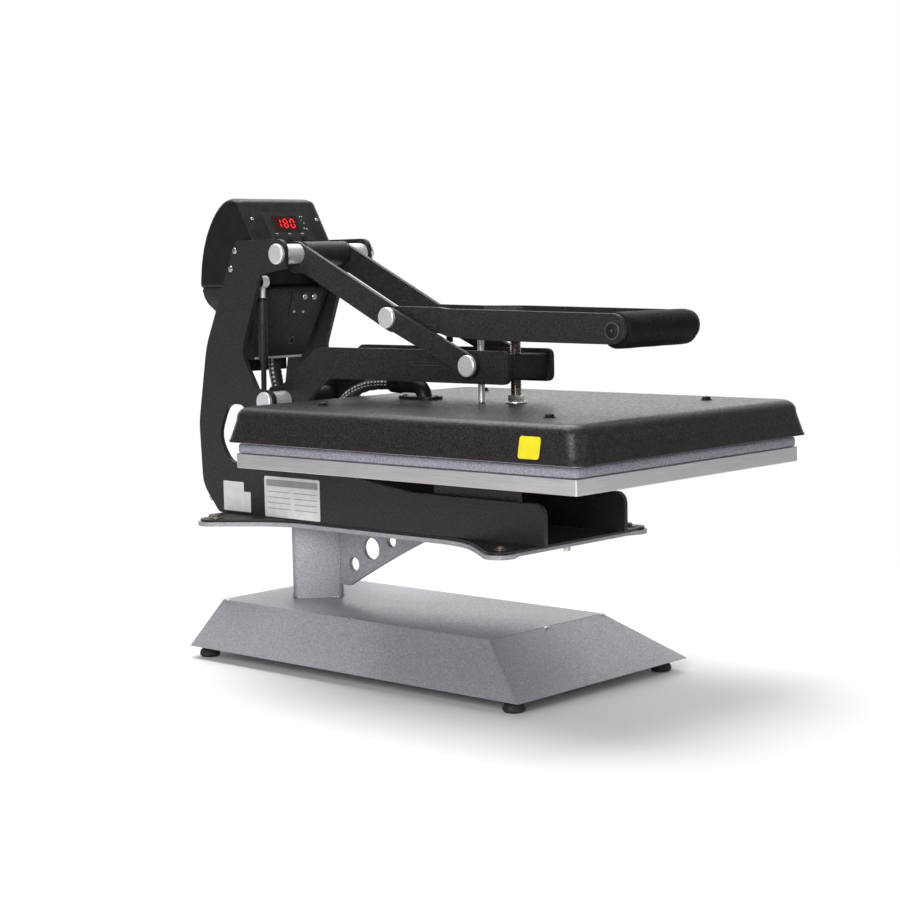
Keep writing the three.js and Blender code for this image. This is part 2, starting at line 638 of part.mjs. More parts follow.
// ---- gas spring -----------------------------------------------------------------------------
// Built upright on its lower eye and leaned to meet the stud on the frame.
const spring = new THREE.Group();
spring.position.set(SPRING.x, SPRING.bottom.y, SPRING.bottom.z);
spring.rotation.x = Math.atan2(SPRING.bottom.y - SPRING.top.y, SPRING.top.z - SPRING.bottom.z);
machine.add(spring);
const springLength = Math.hypot(SPRING.top.y - SPRING.bottom.y, SPRING.top.z - SPRING.bottom.z);

function springEye(z, bore) {
  return rodX(0, z, 8, -5, 5, 20).subtract(rodX(0, z, bore, -9, 9, 16));
}

function springRod() {
  return springEye(springLength, 4.3).add(rodZ(0, 0, 3.5, SPRING.rodEnd, springLength - 6, 16));
}

function springCylinder() {
  const body = turnedZ(0, 0, [
    [0, 6.5], [3.4, 6.5], [3.4, 44], [SPRING.radius, 48], [SPRING.radius, 122], [5.3, 124], [0, 124]], 24);
  return body.subtract(rodZ(0, 0, 3.9, SPRING.rodEnd - 4, 130, 16)).add(springEye(0, 5.9));
}

piece('gas_spring_rod', springRod(), CHROME, spring);
piece('gas_spring_cylinder', springCylinder(), BLACK, spring);

// ---- controller -----------------------------------------------------------------------------
// Places on the sloping front panel are given as x, the height up the panel and the way out of it.
const panelUp = new THREE.Vector3(0, PANEL.topY - PANEL.y, PANEL.topZ - PANEL.z).normalize();
const panelOut = new THREE.Vector3(0, -panelUp.z, panelUp.y);

function onPanel(geometry, x, up, out) {
  const axes = new THREE.Matrix4().makeBasis(new THREE.Vector3(1, 0, 0), panelUp, panelOut);
  const place = new THREE.Vector3(x, PANEL.y, PANEL.z);
  place.addScaledVector(panelUp, up).addScaledVector(panelOut, out);
  geometry.applyMatrix4(axes);
  geometry.translate(place.x, place.y, place.z);
  return solid(geometry);
}

const panelBox = (x, up, width, height, out0, out1) => onPanel(
  new THREE.BoxGeometry(width, height, out1 - out0), x, up, (out0 + out1) / 2);

function panelDisc(x, up, radius, out0, out1) {
  const geometry = new THREE.CylinderGeometry(radius, radius, out1 - out0, 20);
  geometry.rotateX(Math.PI / 2);
  return onPanel(geometry, x, up, (out0 + out1) / 2);
}

function controllerHousing() {
  const half = PANEL.halfWidth;
  const seam = PANEL.seamY;
  const outer = plateX([
    [PANEL.y, PANEL.z, 3], [PANEL.topY, PANEL.topZ, 5], [seam, 300.5, 1], [seam, 188, 0], [640, 188, 2],
    [640, 214, 4]].reverse(), -half, half, 4);
  const inner = plateX([
    [PANEL.y + 4.5, PANEL.z + 0.8, 2], [PANEL.topY + 2.4, PANEL.topZ - 3.6, 3], [seam + 5, 297, 0],
    [seam + 5, 191, 0], [643, 191, 1], [643, 215.5, 2]].reverse(), -half + 3, half - 3, 3);
  let housing = outer.subtract(inner).subtract(panelBox(DISPLAY_PLACE.x, DISPLAY_PLACE.up,
    DISPLAY_PLACE.width + 0.8, DISPLAY_PLACE.height + 0.8, -8, 4));
  for (const x of BUTTONS.places) {
    housing = housing.subtract(panelDisc(x, BUTTONS.up, BUTTONS.radius + 0.5, -8, 4));
  }
  return housing;
}

function controllerRearCover() {
  const half = PANEL.halfWidth + 1.5;
  const seam = PANEL.seamY + GAP;
  const outer = [
    [seam, 302.5, 3], [674, 301, 14], [700, 269, 60], [722, 226, 60], [728, 190, 3], [seam, 188, 0]];
  const inner = [
    [seam - 5, 299.5, 0], [671, 298, 12], [697, 267, 60], [718.8, 225, 60], [724.6, 193, 2],
    [seam - 5, 191, 0]];
  return plateX(outer.reverse(), -half, half, 5).subtract(plateX(inner.reverse(), -half + 3, half - 3, 5));
}

// The power section hangs between the frame plates and narrows towards its front lip. It is open
// underneath for the cable, and its rear wall reaches lower than the lip.
function controllerLowerBox() {
  const { lip, bottom } = BOX;
  const side = plateX([
    [625, 187.7, 1], [625, 180, 2], [652, lip, 2], [653, bottom, 1], [BOX.rear, bottom, 3], [BOX.rear, 150, 6],
    [712, 170, 4], [719, 187.7, 1]].reverse(), -90, 90, 3);
  const front = plateZXOutline([
    [-66.2, 187.7], [-66.2, 178], [-42, lip], [-42, bottom],
    [42, bottom], [42, lip], [66.2, 178], [66.2, 187.7]]);
  const wall = BOX.rear - 9;
  const hollow = box(-38, 38, 657, wall, 70, 150).add(box(-90, 90, 600, wall, 70, lip));
  return side.intersect(front)
    .subtract(hollow)
    .subtract(box(BOX.inletX - 15.4, BOX.inletX + 15.4, BOX.rear - 8, BOX.rear + 2, 99.6, 122.4))
    .subtract(box(BOX.switchX - 8.4, BOX.switchX + 8.4, BOX.rear - 8, BOX.rear + 2, 101.4, 124.6));
}

// An [x, z] outline extruded through the controller's depth.
function plateZXOutline(corners) {
  const geometry = extruded(corners, 200);
  geometry.rotateX(Math.PI / 2);
  geometry.translate(0, 760, 0);
  return solid(geometry);
}

function powerInlet() {
  const { inletX: x, rear } = BOX;
  return box(x - 15, x + 15, rear - 7.6, rear + 2.5, 100, 122)
    .subtract(box(x - 11.5, x + 11.5, rear - 5.5, rear + 4, 103.5, 118.5));
}

// A rocker with its two faces meeting at a shallow angle, tilted about its middle.
function powerSwitch() {
  const depth = 15.4;
  const geometry = extruded([[-4, -9.2], [2.6, -9.2, 1], [1.2, 0], [2.6, 9.2, 1], [-4, 9.2]], depth, 3);
  geometry.rotateZ(THREE.MathUtils.degToRad(BOX.switchTilt));
  geometry.applyMatrix4(ACROSS);
  geometry.translate(BOX.switchX - depth / 2, BOX.rear, 113);
  return solid(geometry);
}

piece('controller_housing', controllerHousing(), PLASTIC);
piece('controller_rear_cover', controllerRearCover(), PLASTIC);
piece('controller_lower_box', controllerLowerBox(), BLACK);
const { x: displayX, up: displayUp, width: displayWidth, height: displayHeight } = DISPLAY_PLACE;
piece('display_window', panelBox(displayX, displayUp, displayWidth, displayHeight, -3, 0.4), DISPLAY);
for (const [index, name] of ['down', 'up', 'set'].entries()) {
  piece(`button_${name}`, panelDisc(BUTTONS.places[index], BUTTONS.up, BUTTONS.radius, -2.6, 1.8), PLASTIC);
}
piece('power_switch', powerSwitch(), RUBBER);
piece('power_inlet', powerInlet(), PLASTIC);

// ---- heater cable ---------------------------------------------------------------------------
piece('heater_cable', sweep(CABLE.route, CABLE.radius, 10, 34), RUBBER);

export default press;
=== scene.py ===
"""Looks of the clamshell heat press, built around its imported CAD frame.

Lengths are in metres unless a name says mm. D(x, y, z) turns a place on the press's own datum, in
millimetres, into the frame: x = 0 is the machine's centre plane, y = 0 the lower platen's front edge
and z = 0 the lower platen's top face.
"""
import json
import math

import bmesh
import bpy
from mathutils import Euler, Matrix, Vector


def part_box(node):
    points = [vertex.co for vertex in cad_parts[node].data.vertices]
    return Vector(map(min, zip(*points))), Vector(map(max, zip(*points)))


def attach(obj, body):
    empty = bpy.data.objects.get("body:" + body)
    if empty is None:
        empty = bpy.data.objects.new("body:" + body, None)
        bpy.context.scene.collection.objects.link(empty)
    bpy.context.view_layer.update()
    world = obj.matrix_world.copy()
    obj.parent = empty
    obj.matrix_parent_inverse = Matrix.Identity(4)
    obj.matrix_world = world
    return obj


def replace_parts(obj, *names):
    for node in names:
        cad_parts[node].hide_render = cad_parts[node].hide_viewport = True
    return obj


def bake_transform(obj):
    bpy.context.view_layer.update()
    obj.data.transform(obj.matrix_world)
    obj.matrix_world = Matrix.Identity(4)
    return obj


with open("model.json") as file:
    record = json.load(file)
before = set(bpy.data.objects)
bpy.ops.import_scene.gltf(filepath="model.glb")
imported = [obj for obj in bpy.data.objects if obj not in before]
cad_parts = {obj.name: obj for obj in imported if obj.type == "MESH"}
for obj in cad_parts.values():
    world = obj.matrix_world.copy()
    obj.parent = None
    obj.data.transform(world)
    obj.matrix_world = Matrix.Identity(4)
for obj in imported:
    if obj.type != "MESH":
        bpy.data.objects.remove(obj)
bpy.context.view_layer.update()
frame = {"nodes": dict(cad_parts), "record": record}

MM = 0.001
SIDES = (("left", -1), ("right", 1))
PLATEN_LOW, PLATEN_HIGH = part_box("lower_platen")
PLATEN_TOP = 0.3 * MM                     # the CAD platen stops this far under the datum
ORIGIN = Vector((0.0, PLATEN_LOW.y, PLATEN_HIGH.z + PLATEN_TOP))


def D(x, y, z):
    return ORIGIN + Vector((x, y, z)) * MM


# ---- camera ----
CAMERA_PLACE = Vector((-1.7239, -1.5746, 0.4893))
CAMERA_TILT_ROLL_HEADING = (84.46, 1.0567, -47.7883)      # degrees


def make_camera():
    data = bpy.data.cameras.new("camera")
    data.sensor_width = 36.0
    data.lens = 78.56
    data.shift_x = -0.0009
    camera = bpy.data.objects.new("camera", data)
    turn = Euler([math.radians(angle) for angle in CAMERA_TILT_ROLL_HEADING])
    camera.matrix_world = Matrix.LocRotScale(CAMERA_PLACE, turn, None)
    data.clip_start, data.clip_end = 0.05, 60.0
    bpy.context.scene.collection.objects.link(camera)
    bpy.context.scene.camera = camera


make_camera()


# ---- node materials ----
def map_range(tree, value, low, high, start, stop):
    node = tree.nodes.new("ShaderNodeMapRange")
    for socket, number in (("From Min", start), ("From Max", stop), ("To Min", low), ("To Max", high)):
        node.inputs[socket].default_value = number
    tree.links.new(value, node.inputs["Value"])
    return node


class Paint:
    """A Principled material with a few helpers that add procedural detail to it."""

    def __init__(self, name, color, roughness, metallic=0.0, **sockets):
        self.material = bpy.data.materials.new(name)
        self.material.use_nodes = True
        self.tree = self.material.node_tree
        self.shader = self.tree.nodes["Principled BSDF"]
        self.color = color
        self.set("Base Color", (*color, 1.0))
        self.set("Roughness", roughness)
        self.set("Metallic", metallic)
        for socket, value in sockets.items():
            self.set(socket.replace("_", " "), value)
        self.coords = self.tree.nodes.new("ShaderNodeTexCoord").outputs["Object"]
        self.normal = None

    def set(self, socket, value):
        self.shader.inputs[socket].default_value = value

    def link(self, a, b):
        self.tree.links.new(a, b)

    def stretched(self, scale):
        mapping = self.tree.nodes.new("ShaderNodeMapping")
        mapping.inputs["Scale"].default_value = scale
        self.link(self.coords, mapping.inputs["Vector"])
        return mapping.outputs["Vector"]

    def noise(self, per_metre, detail=3.0, stretch=None):
        node = self.tree.nodes.new("ShaderNodeTexNoise")
        node.inputs["Scale"].default_value = per_metre
        node.inputs["Detail"].default_value = detail
        self.link(self.stretched(stretch) if stretch else self.coords, node.inputs["Vector"])
        return node.outputs["Fac"]

    def cells(self, per_metre, feature="SMOOTH_F1"):
        node = self.tree.nodes.new("ShaderNodeTexVoronoi")
        node.feature = feature
        node.inputs["Scale"].default_value = per_metre
        self.link(self.coords, node.inputs["Vector"])
        return node.outputs["Distance"]

    def ramp(self, value, low, high, start=0.35, stop=0.65):
        return map_range(self.tree, value, low, high, start, stop).outputs["Result"]

    def tint(self, value, low, high, start=0.35, stop=0.65):
        node = self.tree.nodes.new("ShaderNodeMix")
        node.data_type = "RGBA"
        node.inputs["A"].default_value = (*low, 1.0)
        node.inputs["B"].default_value = (*high, 1.0)
        self.link(self.ramp(value, 0.0, 1.0, start, stop), node.inputs["Factor"])
        self.link(node.outputs["Result"], self.shader.inputs["Base Color"])

    def vary(self, value, dark, light, start=0.35, stop=0.65):
        """Tints between a darker and a lighter shade of the base colour."""
        self.tint(value, shade(self.color, dark), shade(self.color, light), start, stop)

    def rough(self, value, low, high, start=0.35, stop=0.65):
        self.link(self.ramp(value, low, high, start, stop), self.shader.inputs["Roughness"])

    def bump(self, value, depth_mm, strength=1.0):
        node = self.tree.nodes.new("ShaderNodeBump")
        node.inputs["Strength"].default_value = strength
        node.inputs["Distance"].default_value = depth_mm * MM
        self.link(value, node.inputs["Height"])
        if self.normal:
            self.link(self.normal, node.inputs["Normal"])
        self.normal = node.outputs["Normal"]
        self.link(self.normal, self.shader.inputs["Normal"])


def shade(color, factor):
    return tuple(min(1.0, c * factor) for c in color)


def powder_coat():
    """Fine-textured black powder coat: a tight leathery grain with sparse glints."""
    paint = Paint("powder_coat", (0.0088, 0.0074, 0.0090), 0.5, 0.0, Specular_IOR_Level=0.33)
    grain = paint.noise(560, 4.0)
    paint.vary(paint.noise(780), 0.35, 4.4, 0.36, 0.70)
    paint.rough(grain, 0.36, 0.64)
    paint.bump(grain, 0.55, 0.9)
    paint.bump(paint.noise(60, 2.0), 0.12, 0.3)
    return paint.material


def cover_paint():
    """Semi-gloss black paint over sheet steel, with orange peel and fine dust-like speckle."""
    paint = Paint("cover_paint", (0.0104, 0.0086, 0.0086), 0.42, 0.0, Specular_IOR_Level=0.30)
    peel = paint.noise(330)
    paint.vary(paint.noise(640), 0.4, 4.0, 0.38, 0.72)
    paint.rough(peel, 0.33, 0.5)
    paint.bump(peel, 0.4, 0.7)
    paint.bump(paint.noise(9, 2.0), 0.7, 0.12)
    return paint.material


def hammertone():
    """Silver hammertone enamel: shallow dimples with a metallic flake in them."""
    paint = Paint("silver_hammertone", (0.345, 0.330, 0.360), 0.42, 0.45, Specular_IOR_Level=0.5)
    dimples = paint.cells(340)
    paint.vary(paint.noise(520), 0.80, 1.16, 0.36, 0.66)
    paint.rough(dimples, 0.34, 0.52, 0.1, 0.6)
    paint.bump(dimples, 0.16, 0.55)
    paint.bump(paint.noise(900, 2.0), 0.05, 0.5)
    return paint.material


def brushed_aluminium():
    """Milled plate: long streaks that run along each face."""
    paint = Paint("brushed_aluminium", (0.64, 0.615, 0.64), 0.36, 1.0)
    streaks = paint.noise(1.0, 4.0, (22.0, 22.0, 2600.0))
    paint.vary(streaks, 0.86, 1.12, 0.3, 0.7)
    paint.rough(paint.noise(42), 0.30, 0.46)
    paint.bump(streaks, 0.05, 0.5)
    return paint.material


def chrome():
    """Plated steel with a satin turned finish."""
    paint = Paint("chrome", (0.80, 0.78, 0.81), 0.36, 0.62, Specular_IOR_Level=0.5)
    paint.vary(paint.noise(420), 0.94, 1.06)
    paint.rough(paint.noise(160), 0.32, 0.44)
    paint.bump(paint.noise(1.0, 3.0, (2200.0, 300.0, 300.0)), 0.03, 0.6)
    return paint.material


def zinc():
    """Zinc-plated screws: slightly dull with cloudy passivation."""
    paint = Paint("zinc_plate", (0.52, 0.51, 0.50), 0.3, 1.0)
    paint.vary(paint.noise(240), 0.8, 1.25)
    paint.rough(paint.noise(500, 2.0), 0.22, 0.42)
    return paint.material


def bronze():
    """Bronze-tinted bolts, dulled by handling."""
    paint = Paint("bronze_plate", (0.26, 0.22, 0.17), 0.4, 0.9)
    paint.vary(paint.noise(260), 0.6, 1.3)
    paint.rough(paint.noise(480, 2.0), 0.32, 0.52)
    return paint.material


def yellow_zinc():
    """Yellow-passivated screw thread, oiled and slightly stained."""
    paint = Paint("plated_thread", (0.66, 0.60, 0.50), 0.3, 1.0)
    paint.tint(paint.noise(300), (0.46, 0.40, 0.32), (0.82, 0.77, 0.70))
    paint.rough(paint.noise(420, 2.0), 0.2, 0.42)
    return paint.material


def moulded_plastic():
    """Satin black moulding with a spark-eroded grain."""
    paint = Paint("moulded_plastic", (0.0082, 0.0066, 0.0066), 0.45, 0.0, Specular_IOR_Level=0.27)
    paint.vary(paint.noise(40), 0.85, 1.25)
    paint.rough(paint.noise(90), 0.36, 0.48)
    paint.bump(paint.noise(1300, 2.0), 0.05, 0.6)
    return paint.material


def rubber():
    """Matt moulded rubber with a dusty bloom."""
    paint = Paint("rubber", (0.0125, 0.0120, 0.0120), 0.7, 0.0)
    paint.vary(paint.noise(70, 4.0), 0.8, 1.8, 0.4, 0.75)
    paint.rough(paint.noise(300, 2.0), 0.58, 0.82)
    paint.bump(paint.noise(1500, 2.0), 0.05, 0.5)
    return paint.material


def foam():
    """Closed-cell foam: a skin of tiny pores with a soft sheen."""
    paint = Paint("foam", (0.0045, 0.0042, 0.0044), 0.75, 0.0, Specular_IOR_Level=0.12)
    paint.vary(paint.noise(800), 0.6, 2.1, 0.38, 0.68)
    paint.rough(paint.noise(500, 2.0), 0.5, 0.76)
    paint.bump(paint.cells(620, "F1"), 0.22, 0.6)
    return paint.material


def silicone():
    """Grey silicone sponge with open cells on its cut edge."""
    paint = Paint("silicone_foam", (0.245, 0.240, 0.285), 0.8, 0.0)
    paint.vary(paint.noise(430, 4.0), 0.72, 1.28)
    paint.bump(paint.cells(520, "F1"), 0.18, 0.6)
    paint.bump(paint.noise(30, 2.0), 0.3, 0.2)
    return paint.material


def braid():
    """Braided sleeve: the mesh carries the weave, and a tracer attribute marks the pale strand."""
    color = (0.0100, 0.0100, 0.0115)
    paint = Paint("braided_sleeve", color, 0.5, 0.0, Sheen_Weight=0.08, Sheen_Roughness=0.4)
    tracer = paint.tree.nodes.new("ShaderNodeAttribute")
    tracer.attribute_name = "tracer"
    paint.tint(tracer.outputs["Fac"], color, (0.62, 0.61, 0.60), 0.3, 0.7)
    paint.rough(paint.noise(900, 2.0), 0.38, 0.6)
    paint.bump(paint.noise(1.0, 2.0, (1800.0, 1800.0, 1800.0)), 0.06, 0.6)
    return paint.material


def label_stock(name, color):
    """A printed vinyl label: smooth, with slight cloudiness. Also used for the painted highlight on rims and the
    painted shade in holes.
    """
    paint = Paint(name, color, 0.35, 0.0)
    paint.vary(paint.noise(90), 0.93, 1.04)
    paint.rough(paint.noise(400, 2.0), 0.28, 0.42)
    paint.bump(paint.noise(220, 2.0), 0.02, 0.3)
    return paint.material


def display_glass():
    paint = Paint("display_glass", (0.030, 0.0020, 0.0022), 0.1, 0.0, Coat_Weight=0.6)
    paint.tint(paint.noise(60, 2.0), (0.024, 0.0016, 0.0018), (0.038, 0.003, 0.003))
    paint.rough(paint.noise(300, 2.0), 0.06, 0.14)
    return paint.material


def glowing(name, color, strength):
    paint = Paint(name, shade(color, 0.5), 0.4, 0.0)
    paint.set("Emission Color", (*color, 1.0))
    paint.set("Emission Strength", strength)
    paint.rough(paint.noise(600, 2.0), 0.3, 0.5)
    return paint.material


MATERIALS = {
    "black_powder_coat": powder_coat(), "cover_paint": cover_paint(), "silver_paint": hammertone(),
    "chrome": chrome(), "aluminium": brushed_aluminium(), "silicone": silicone(), "rubber": rubber(),
    "cable_sleeve": braid(), "plastic": moulded_plastic(), "brass_plated_steel": yellow_zinc(),
    "display": display_glass()}
ZINC = zinc()
FOAM = foam()
BRONZE = bronze()
# painted highlight: a lighter grey for raised rims, tabs, washers and a screw cup, standing in for light catching
# their edges
RIM_HIGHLIGHT = label_stock("worn_edge", (0.060, 0.056, 0.060))
LABEL_WHITE = label_stock("label_white", (0.62, 0.62, 0.62))
LABEL_YELLOW = label_stock("label_yellow", (0.70, 0.60, 0.02))
# near-black: printed label borders and the seam line, and painted shade standing in for the arm holes
DARK_LINES_AND_SHADE = label_stock("label_dark", (0.012, 0.011, 0.012))
LABEL_GREY = label_stock("label_grey", (0.26, 0.26, 0.26))
LEGEND = label_stock("legend_print", (0.42, 0.41, 0.40))
MEMBRANE = label_stock("panel_membrane_film", (0.0105, 0.0095, 0.0095))
DIGIT_RED = glowing("digit_red", (1.0, 0.010, 0.008), 1.3)


# ---- mesh helpers ----
def add_object(name, data):
    piece = bpy.data.objects.new(name, data)
    bpy.context.scene.collection.objects.link(piece)
    return piece


def place_piece(name, mesh, body, slot, material=None, sharp=32.0):
    mesh.materials.append(material or MATERIALS[slot])
    mesh.shade_smooth()
    mesh.set_sharp_from_angle(angle=math.radians(sharp))
    piece = add_object(name, mesh)
    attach(piece, body)
    return piece


def mesh_of(name, bm):
    bmesh.ops.remove_doubles(bm, verts=bm.verts, dist=1e-6)
    bmesh.ops.recalc_face_normals(bm, faces=bm.faces)
    mesh = bpy.data.meshes.new(name)
    bm.to_mesh(mesh)
    bm.free()
    return mesh


def skin(rings, capped=True, closed=False):
    """Quads between rings of equal length, with the first and last ring filled."""
    bm = bmesh.new()
    rows = [[bm.verts.new(point) for point in ring] for ring in rings]
    count = len(rows[0])
    steps = len(rows) if closed else len(rows) - 1
    for i in range(steps):
        here, there = rows[i], rows[(i + 1) % len(rows)]
        for k in range(count):
            bm.faces.new((here[k], here[(k + 1) % count], there[(k + 1) % count], there[k]))
    if capped and not closed:
        bm.faces.new(rows[0][::-1])
        bm.faces.new(rows[-1])
    return bm


def circle(count):
    """Evenly spaced angles once round."""
    return [2 * math.pi * k / count for k in range(count)]


def to_flat(angle):
    """The cosine of an angle measured from the nearest flat of a hexagon."""
    return math.cos((angle + math.pi / 6) % (math.pi / 3) - math.pi / 6)


def basis(axis):
    """Two unit vectors square to an axis."""
    side = Vector((0, 0, 1)) if abs(axis.z) < 0.9 else Vector((1, 0, 0))
    u = axis.cross(side).normalized()
    return u, axis.cross(u).normalized()


def turned_rings(centre, axis, profile, segments):
    """Rings of points from (height, radius) pairs in mm along an axis."""
    axis = Vector(axis).normalized()
    u, v = basis(axis)
    return [[centre + (axis * height + (u * math.cos(a) + v * math.sin(a)) * radius) * MM
             for a in circle(segments)] for height, radius in profile]


def turned(centre, axis, profile, segments=32):
    """A solid of revolution, capped at both ends."""
    return skin(turned_rings(centre, axis, profile, segments))


def turned_piece(name, centre, axis, profile, body, slot, segments=32, material=None, sharp=32.0):
    return place_piece(name, mesh_of(name, turned(centre, axis, profile, segments)), body, slot, material, sharp)


def join_meshes(name, parts):
    """One mesh from several bmesh parts."""
    whole = bmesh.new()
    for part in parts:
        scratch = bpy.data.meshes.new("scratch")
        part.to_mesh(scratch)
        part.free()
        whole.from_mesh(scratch)
        bpy.data.meshes.remove(scratch)
    mesh = bpy.data.meshes.new(name)
    bmesh.ops.recalc_face_normals(whole, faces=whole.faces)
    whole.to_mesh(mesh)
    whole.free()
    return mesh


def rounded_outline(half_w, half_h, radius, steps=6):
    points = []
    for cx, cy, start in ((half_w - radius, half_h - radius, 0), (-half_w + radius, half_h - radius, 90),
                          (-half_w + radius, -half_h + radius, 180), (half_w - radius, -half_h + radius, 270)):
        for k in range(steps + 1):
            angle = math.radians(start + 90 * k / steps)
            points.append((cx + radius * math.cos(angle), cy + radius * math.sin(angle)))
    return points


def slab(centre, u, v, outline, thick_mm, edge_mm=0.0):
    """A flat outline in the plane of u and v, given thickness along u x v, with a small rounded edge."""
    u, v = Vector(u).normalized(), Vector(v).normalized()
    out = u.cross(v)
    xs = [p[0] for p in outline]
    ys = [p[1] for p in outline]
    mid = ((min(xs) + max(xs)) / 2, (min(ys) + max(ys)) / 2)
    reach = max(max(xs) - mid[0], max(ys) - mid[1])
    shrink = 1.0 - edge_mm / reach
    levels = [(0.0, 1.0), (thick_mm - edge_mm, 1.0), (thick_mm, shrink)] if edge_mm else [
        (0.0, 1.0), (thick_mm, 1.0)]
    rings = []
    for height, scale in levels:
        rings.append([
            centre + (u * (mid[0] + (x - mid[0]) * scale) + v * (mid[1] + (y - mid[1]) * scale)
                      + out * height) * MM for x, y in outline])
    return skin(rings)


def slab_piece(name, centre, u, v, outline, thick_mm, body, slot, material=None, edge_mm=0.0):
    return place_piece(name, mesh_of(name, slab(centre, u, v, outline, thick_mm, edge_mm)), body, slot, material)


SOCKET_HEAD = [(0.0, 3.4), (0.5, 4.4), (1.6, 4.5), (2.5, 3.9), (3.0, 2.9), (3.1, 1.7)]


def hex_screw(name, centre, axis, scale, body, slot, material=None):
    """A button-head screw with a hexagonal socket sunk into it."""
    head = turned(centre, axis, [(h * scale, r * scale) for h, r in SOCKET_HEAD], 24)
    bmesh.ops.delete(head, geom=[f for f in head.faces if len(f.verts) == 24 and
                                 (f.calc_center_median() - centre).length > 1.5 * scale * MM], context="FACES_ONLY")
    axis = Vector(axis).normalized()
    u, v = basis(axis)
    top, deep = 3.1 * scale, 1.4 * scale
    rims = []
    for height, radius in ((top, 1.7 * scale), (top - 0.05, 1.55 * scale), (deep, 1.5 * scale), (deep - 0.3, 0.01)):
        rims.append([centre + (axis * height + (u * math.cos(a) + v * math.sin(a)) * (
            radius if height == top else radius * 0.9 / to_flat(a))) * MM for a in circle(24)])
    mesh = join_meshes(name, [head, skin(rims, capped=False)])
    return place_piece(name, mesh, body, slot, material, 28.0)


# ---- carried-over CAD nodes ----
EDGE_MM = {
    "stand_base_shell": 1.6, "stand_post": 0.8, "stand_top_plate": 1.0, "frame_base_plate": 0.7,
    "lower_platen": 0.8, "controller_lower_box": 1.2, "pressure_knob": 0.8, "cable_elbow": 0.6}
PLAIN_EDGE_MM = 0.55


def modify(piece, name, kind, **settings):
    modifier = piece.modifiers.new(name, kind)
    for setting, value in settings.items():
        setattr(modifier, setting, value)


def dress_cad_nodes():
    """Gives every CAD node its material, and rounds its edges without touching its mesh."""
    slots = {part["node"]: part["material_slot"] for part in frame["record"]["subparts"]}
    for name, node in frame["nodes"].items():
        node.data.materials.clear()
        node.data.materials.append(MATERIALS[slots[name]])
        custom = node.data.attributes.get("custom_normal")
        if custom:
            node.data.attributes.remove(custom)
        node.data.shade_smooth()
        modify(node, "weld", "WELD", merge_threshold=2e-6)
        modify(node, "flat", "DECIMATE", decimate_type="DISSOLVE", angle_limit=math.radians(0.6))
        modify(node, "edges", "BEVEL", width=EDGE_MM.get(name, PLAIN_EDGE_MM) * MM, segments=2, limit_method="ANGLE",
               angle_limit=math.radians(34), harden_normals=True, use_clamp_overlap=True)



dress_cad_nodes()


# ---- platen cover ----
def rounded_rectangle(x, y0, y1, z, radius, steps=10):
    """A horizontal ring of points, in datum mm."""
    middle = (y0 + y1) / 2
    return [D(px, middle + py, z) for px, py in rounded_outline(x, (y1 - y0) / 2, radius, steps)]


PLATEN_HALF, PLATEN_LONG = 203.2, 508.0    # a 16 x 20 inch platen


def make_cover():
    """A pressed shell: its skin runs from the inner roof, round the lip, to the outer roof."""
    low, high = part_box("platen_cover")
    grow = high.x / MM - PLATEN_HALF
    bottom, top = (low.z - ORIGIN.z) / MM, (high.z - ORIGIN.z) / MM

    def ring(out, z, radius):
        return rounded_rectangle(PLATEN_HALF + out, -out, PLATEN_LONG + out, z, radius)

    outer = [ring(grow - 0.5, bottom, 15.5), ring(grow, bottom + 0.5, 16), ring(grow, bottom + 2.2, 16),
             ring(grow - 0.7, bottom + 3.2, 16.2)]
    shoulder_z = 39.5
    side_out = 4.6
    for k in range(1, 5):
        t = k / 4
        outer.append(ring(grow - 0.8 + (side_out - grow + 0.8) * t,
                          bottom + 3.4 + (shoulder_z - bottom - 3.4) * t, 16.5 + 4 * t))
    round_out, round_up = 13.0, top - shoulder_z
    for k in range(1, 10):
        angle = math.radians(90 * k / 9)
        out = side_out - round_out * (1 - math.cos(angle)) ** 1.05
        outer.append(ring(out, shoulder_z + round_up * math.sin(angle) ** 0.92, 20.5 - 0.45 * (side_out - out)))
    outer.append(ring(side_out - round_out - 14, top, 10))
    wall = 2.4
    inner = [ring(side_out - round_out - 12, top - wall, 10), ring(-6, top - wall - 1.5, 12),
             ring(0.5, shoulder_z, 16), ring(grow - wall - 0.4, bottom + 2, 14), ring(grow - wall, bottom, 13.5)]
    cover = place_piece("cover_shell", mesh_of("cover_shell", skin(inner + outer)), "heat_head", "cover_paint",
                        None, 40.0)
    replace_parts(cover, "platen_cover")
    return top


COVER_TOP = make_cover()


def make_cover_fittings():
    for name, x, y in (("front_left", -142, 84), ("front_right", 142, 84),
                       ("rear_left", -142, 424), ("rear_right", 142, 424)):
        turned_piece(f"cover_washer_{name}", D(x, y, COVER_TOP), (0, 0, 1),
                     [(0.0, 6.6), (0.6, 6.9), (1.0, 6.6), (1.1, 4.0)], "heat_head", "plastic", 28)
        hex_screw(f"cover_screw_{name}", D(x, y, COVER_TOP + 0.9), (0, 0, 1), 1.15, "heat_head", "plastic")
    for name, x, y in (("front", 0, 375.5), ("rear", 0, 426.5)):
        hex_screw(f"elbow_screw_{name}", D(x, y, COVER_TOP + 3.2), (0, 0, 1), 0.62, "heat_head", "chrome", ZINC)


make_cover_fittings()


# ---- platen pad and handle grip ----
def make_pad():
    low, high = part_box("silicone_pad")
    z0, z1 = (low.z - ORIGIN.z) / MM, (high.z - ORIGIN.z) / MM
    half, y0, y1 = high.x / MM, (low.y - ORIGIN.y) / MM, (high.y - ORIGIN.y) / MM
    levels = [(z0, 1.4), (z0 + 0.8, 0.25), (z0 + 3.0, 0.05), (z1 - 4.0, 0.0), (z1 - 1.6, 0.35), (z1 - 0.5, 1.1),
              (z1, 2.6)]
    rings = []
    for z, draw in levels:
        rings.append(rounded_rectangle(half - draw, y0 + draw, y1 - draw, z, 4.5, 5))
    pad = place_piece("platen_pad", mesh_of("platen_pad", skin(rings)), "frame", "silicone", None, 50.0)
    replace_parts(pad, "silicone_pad")


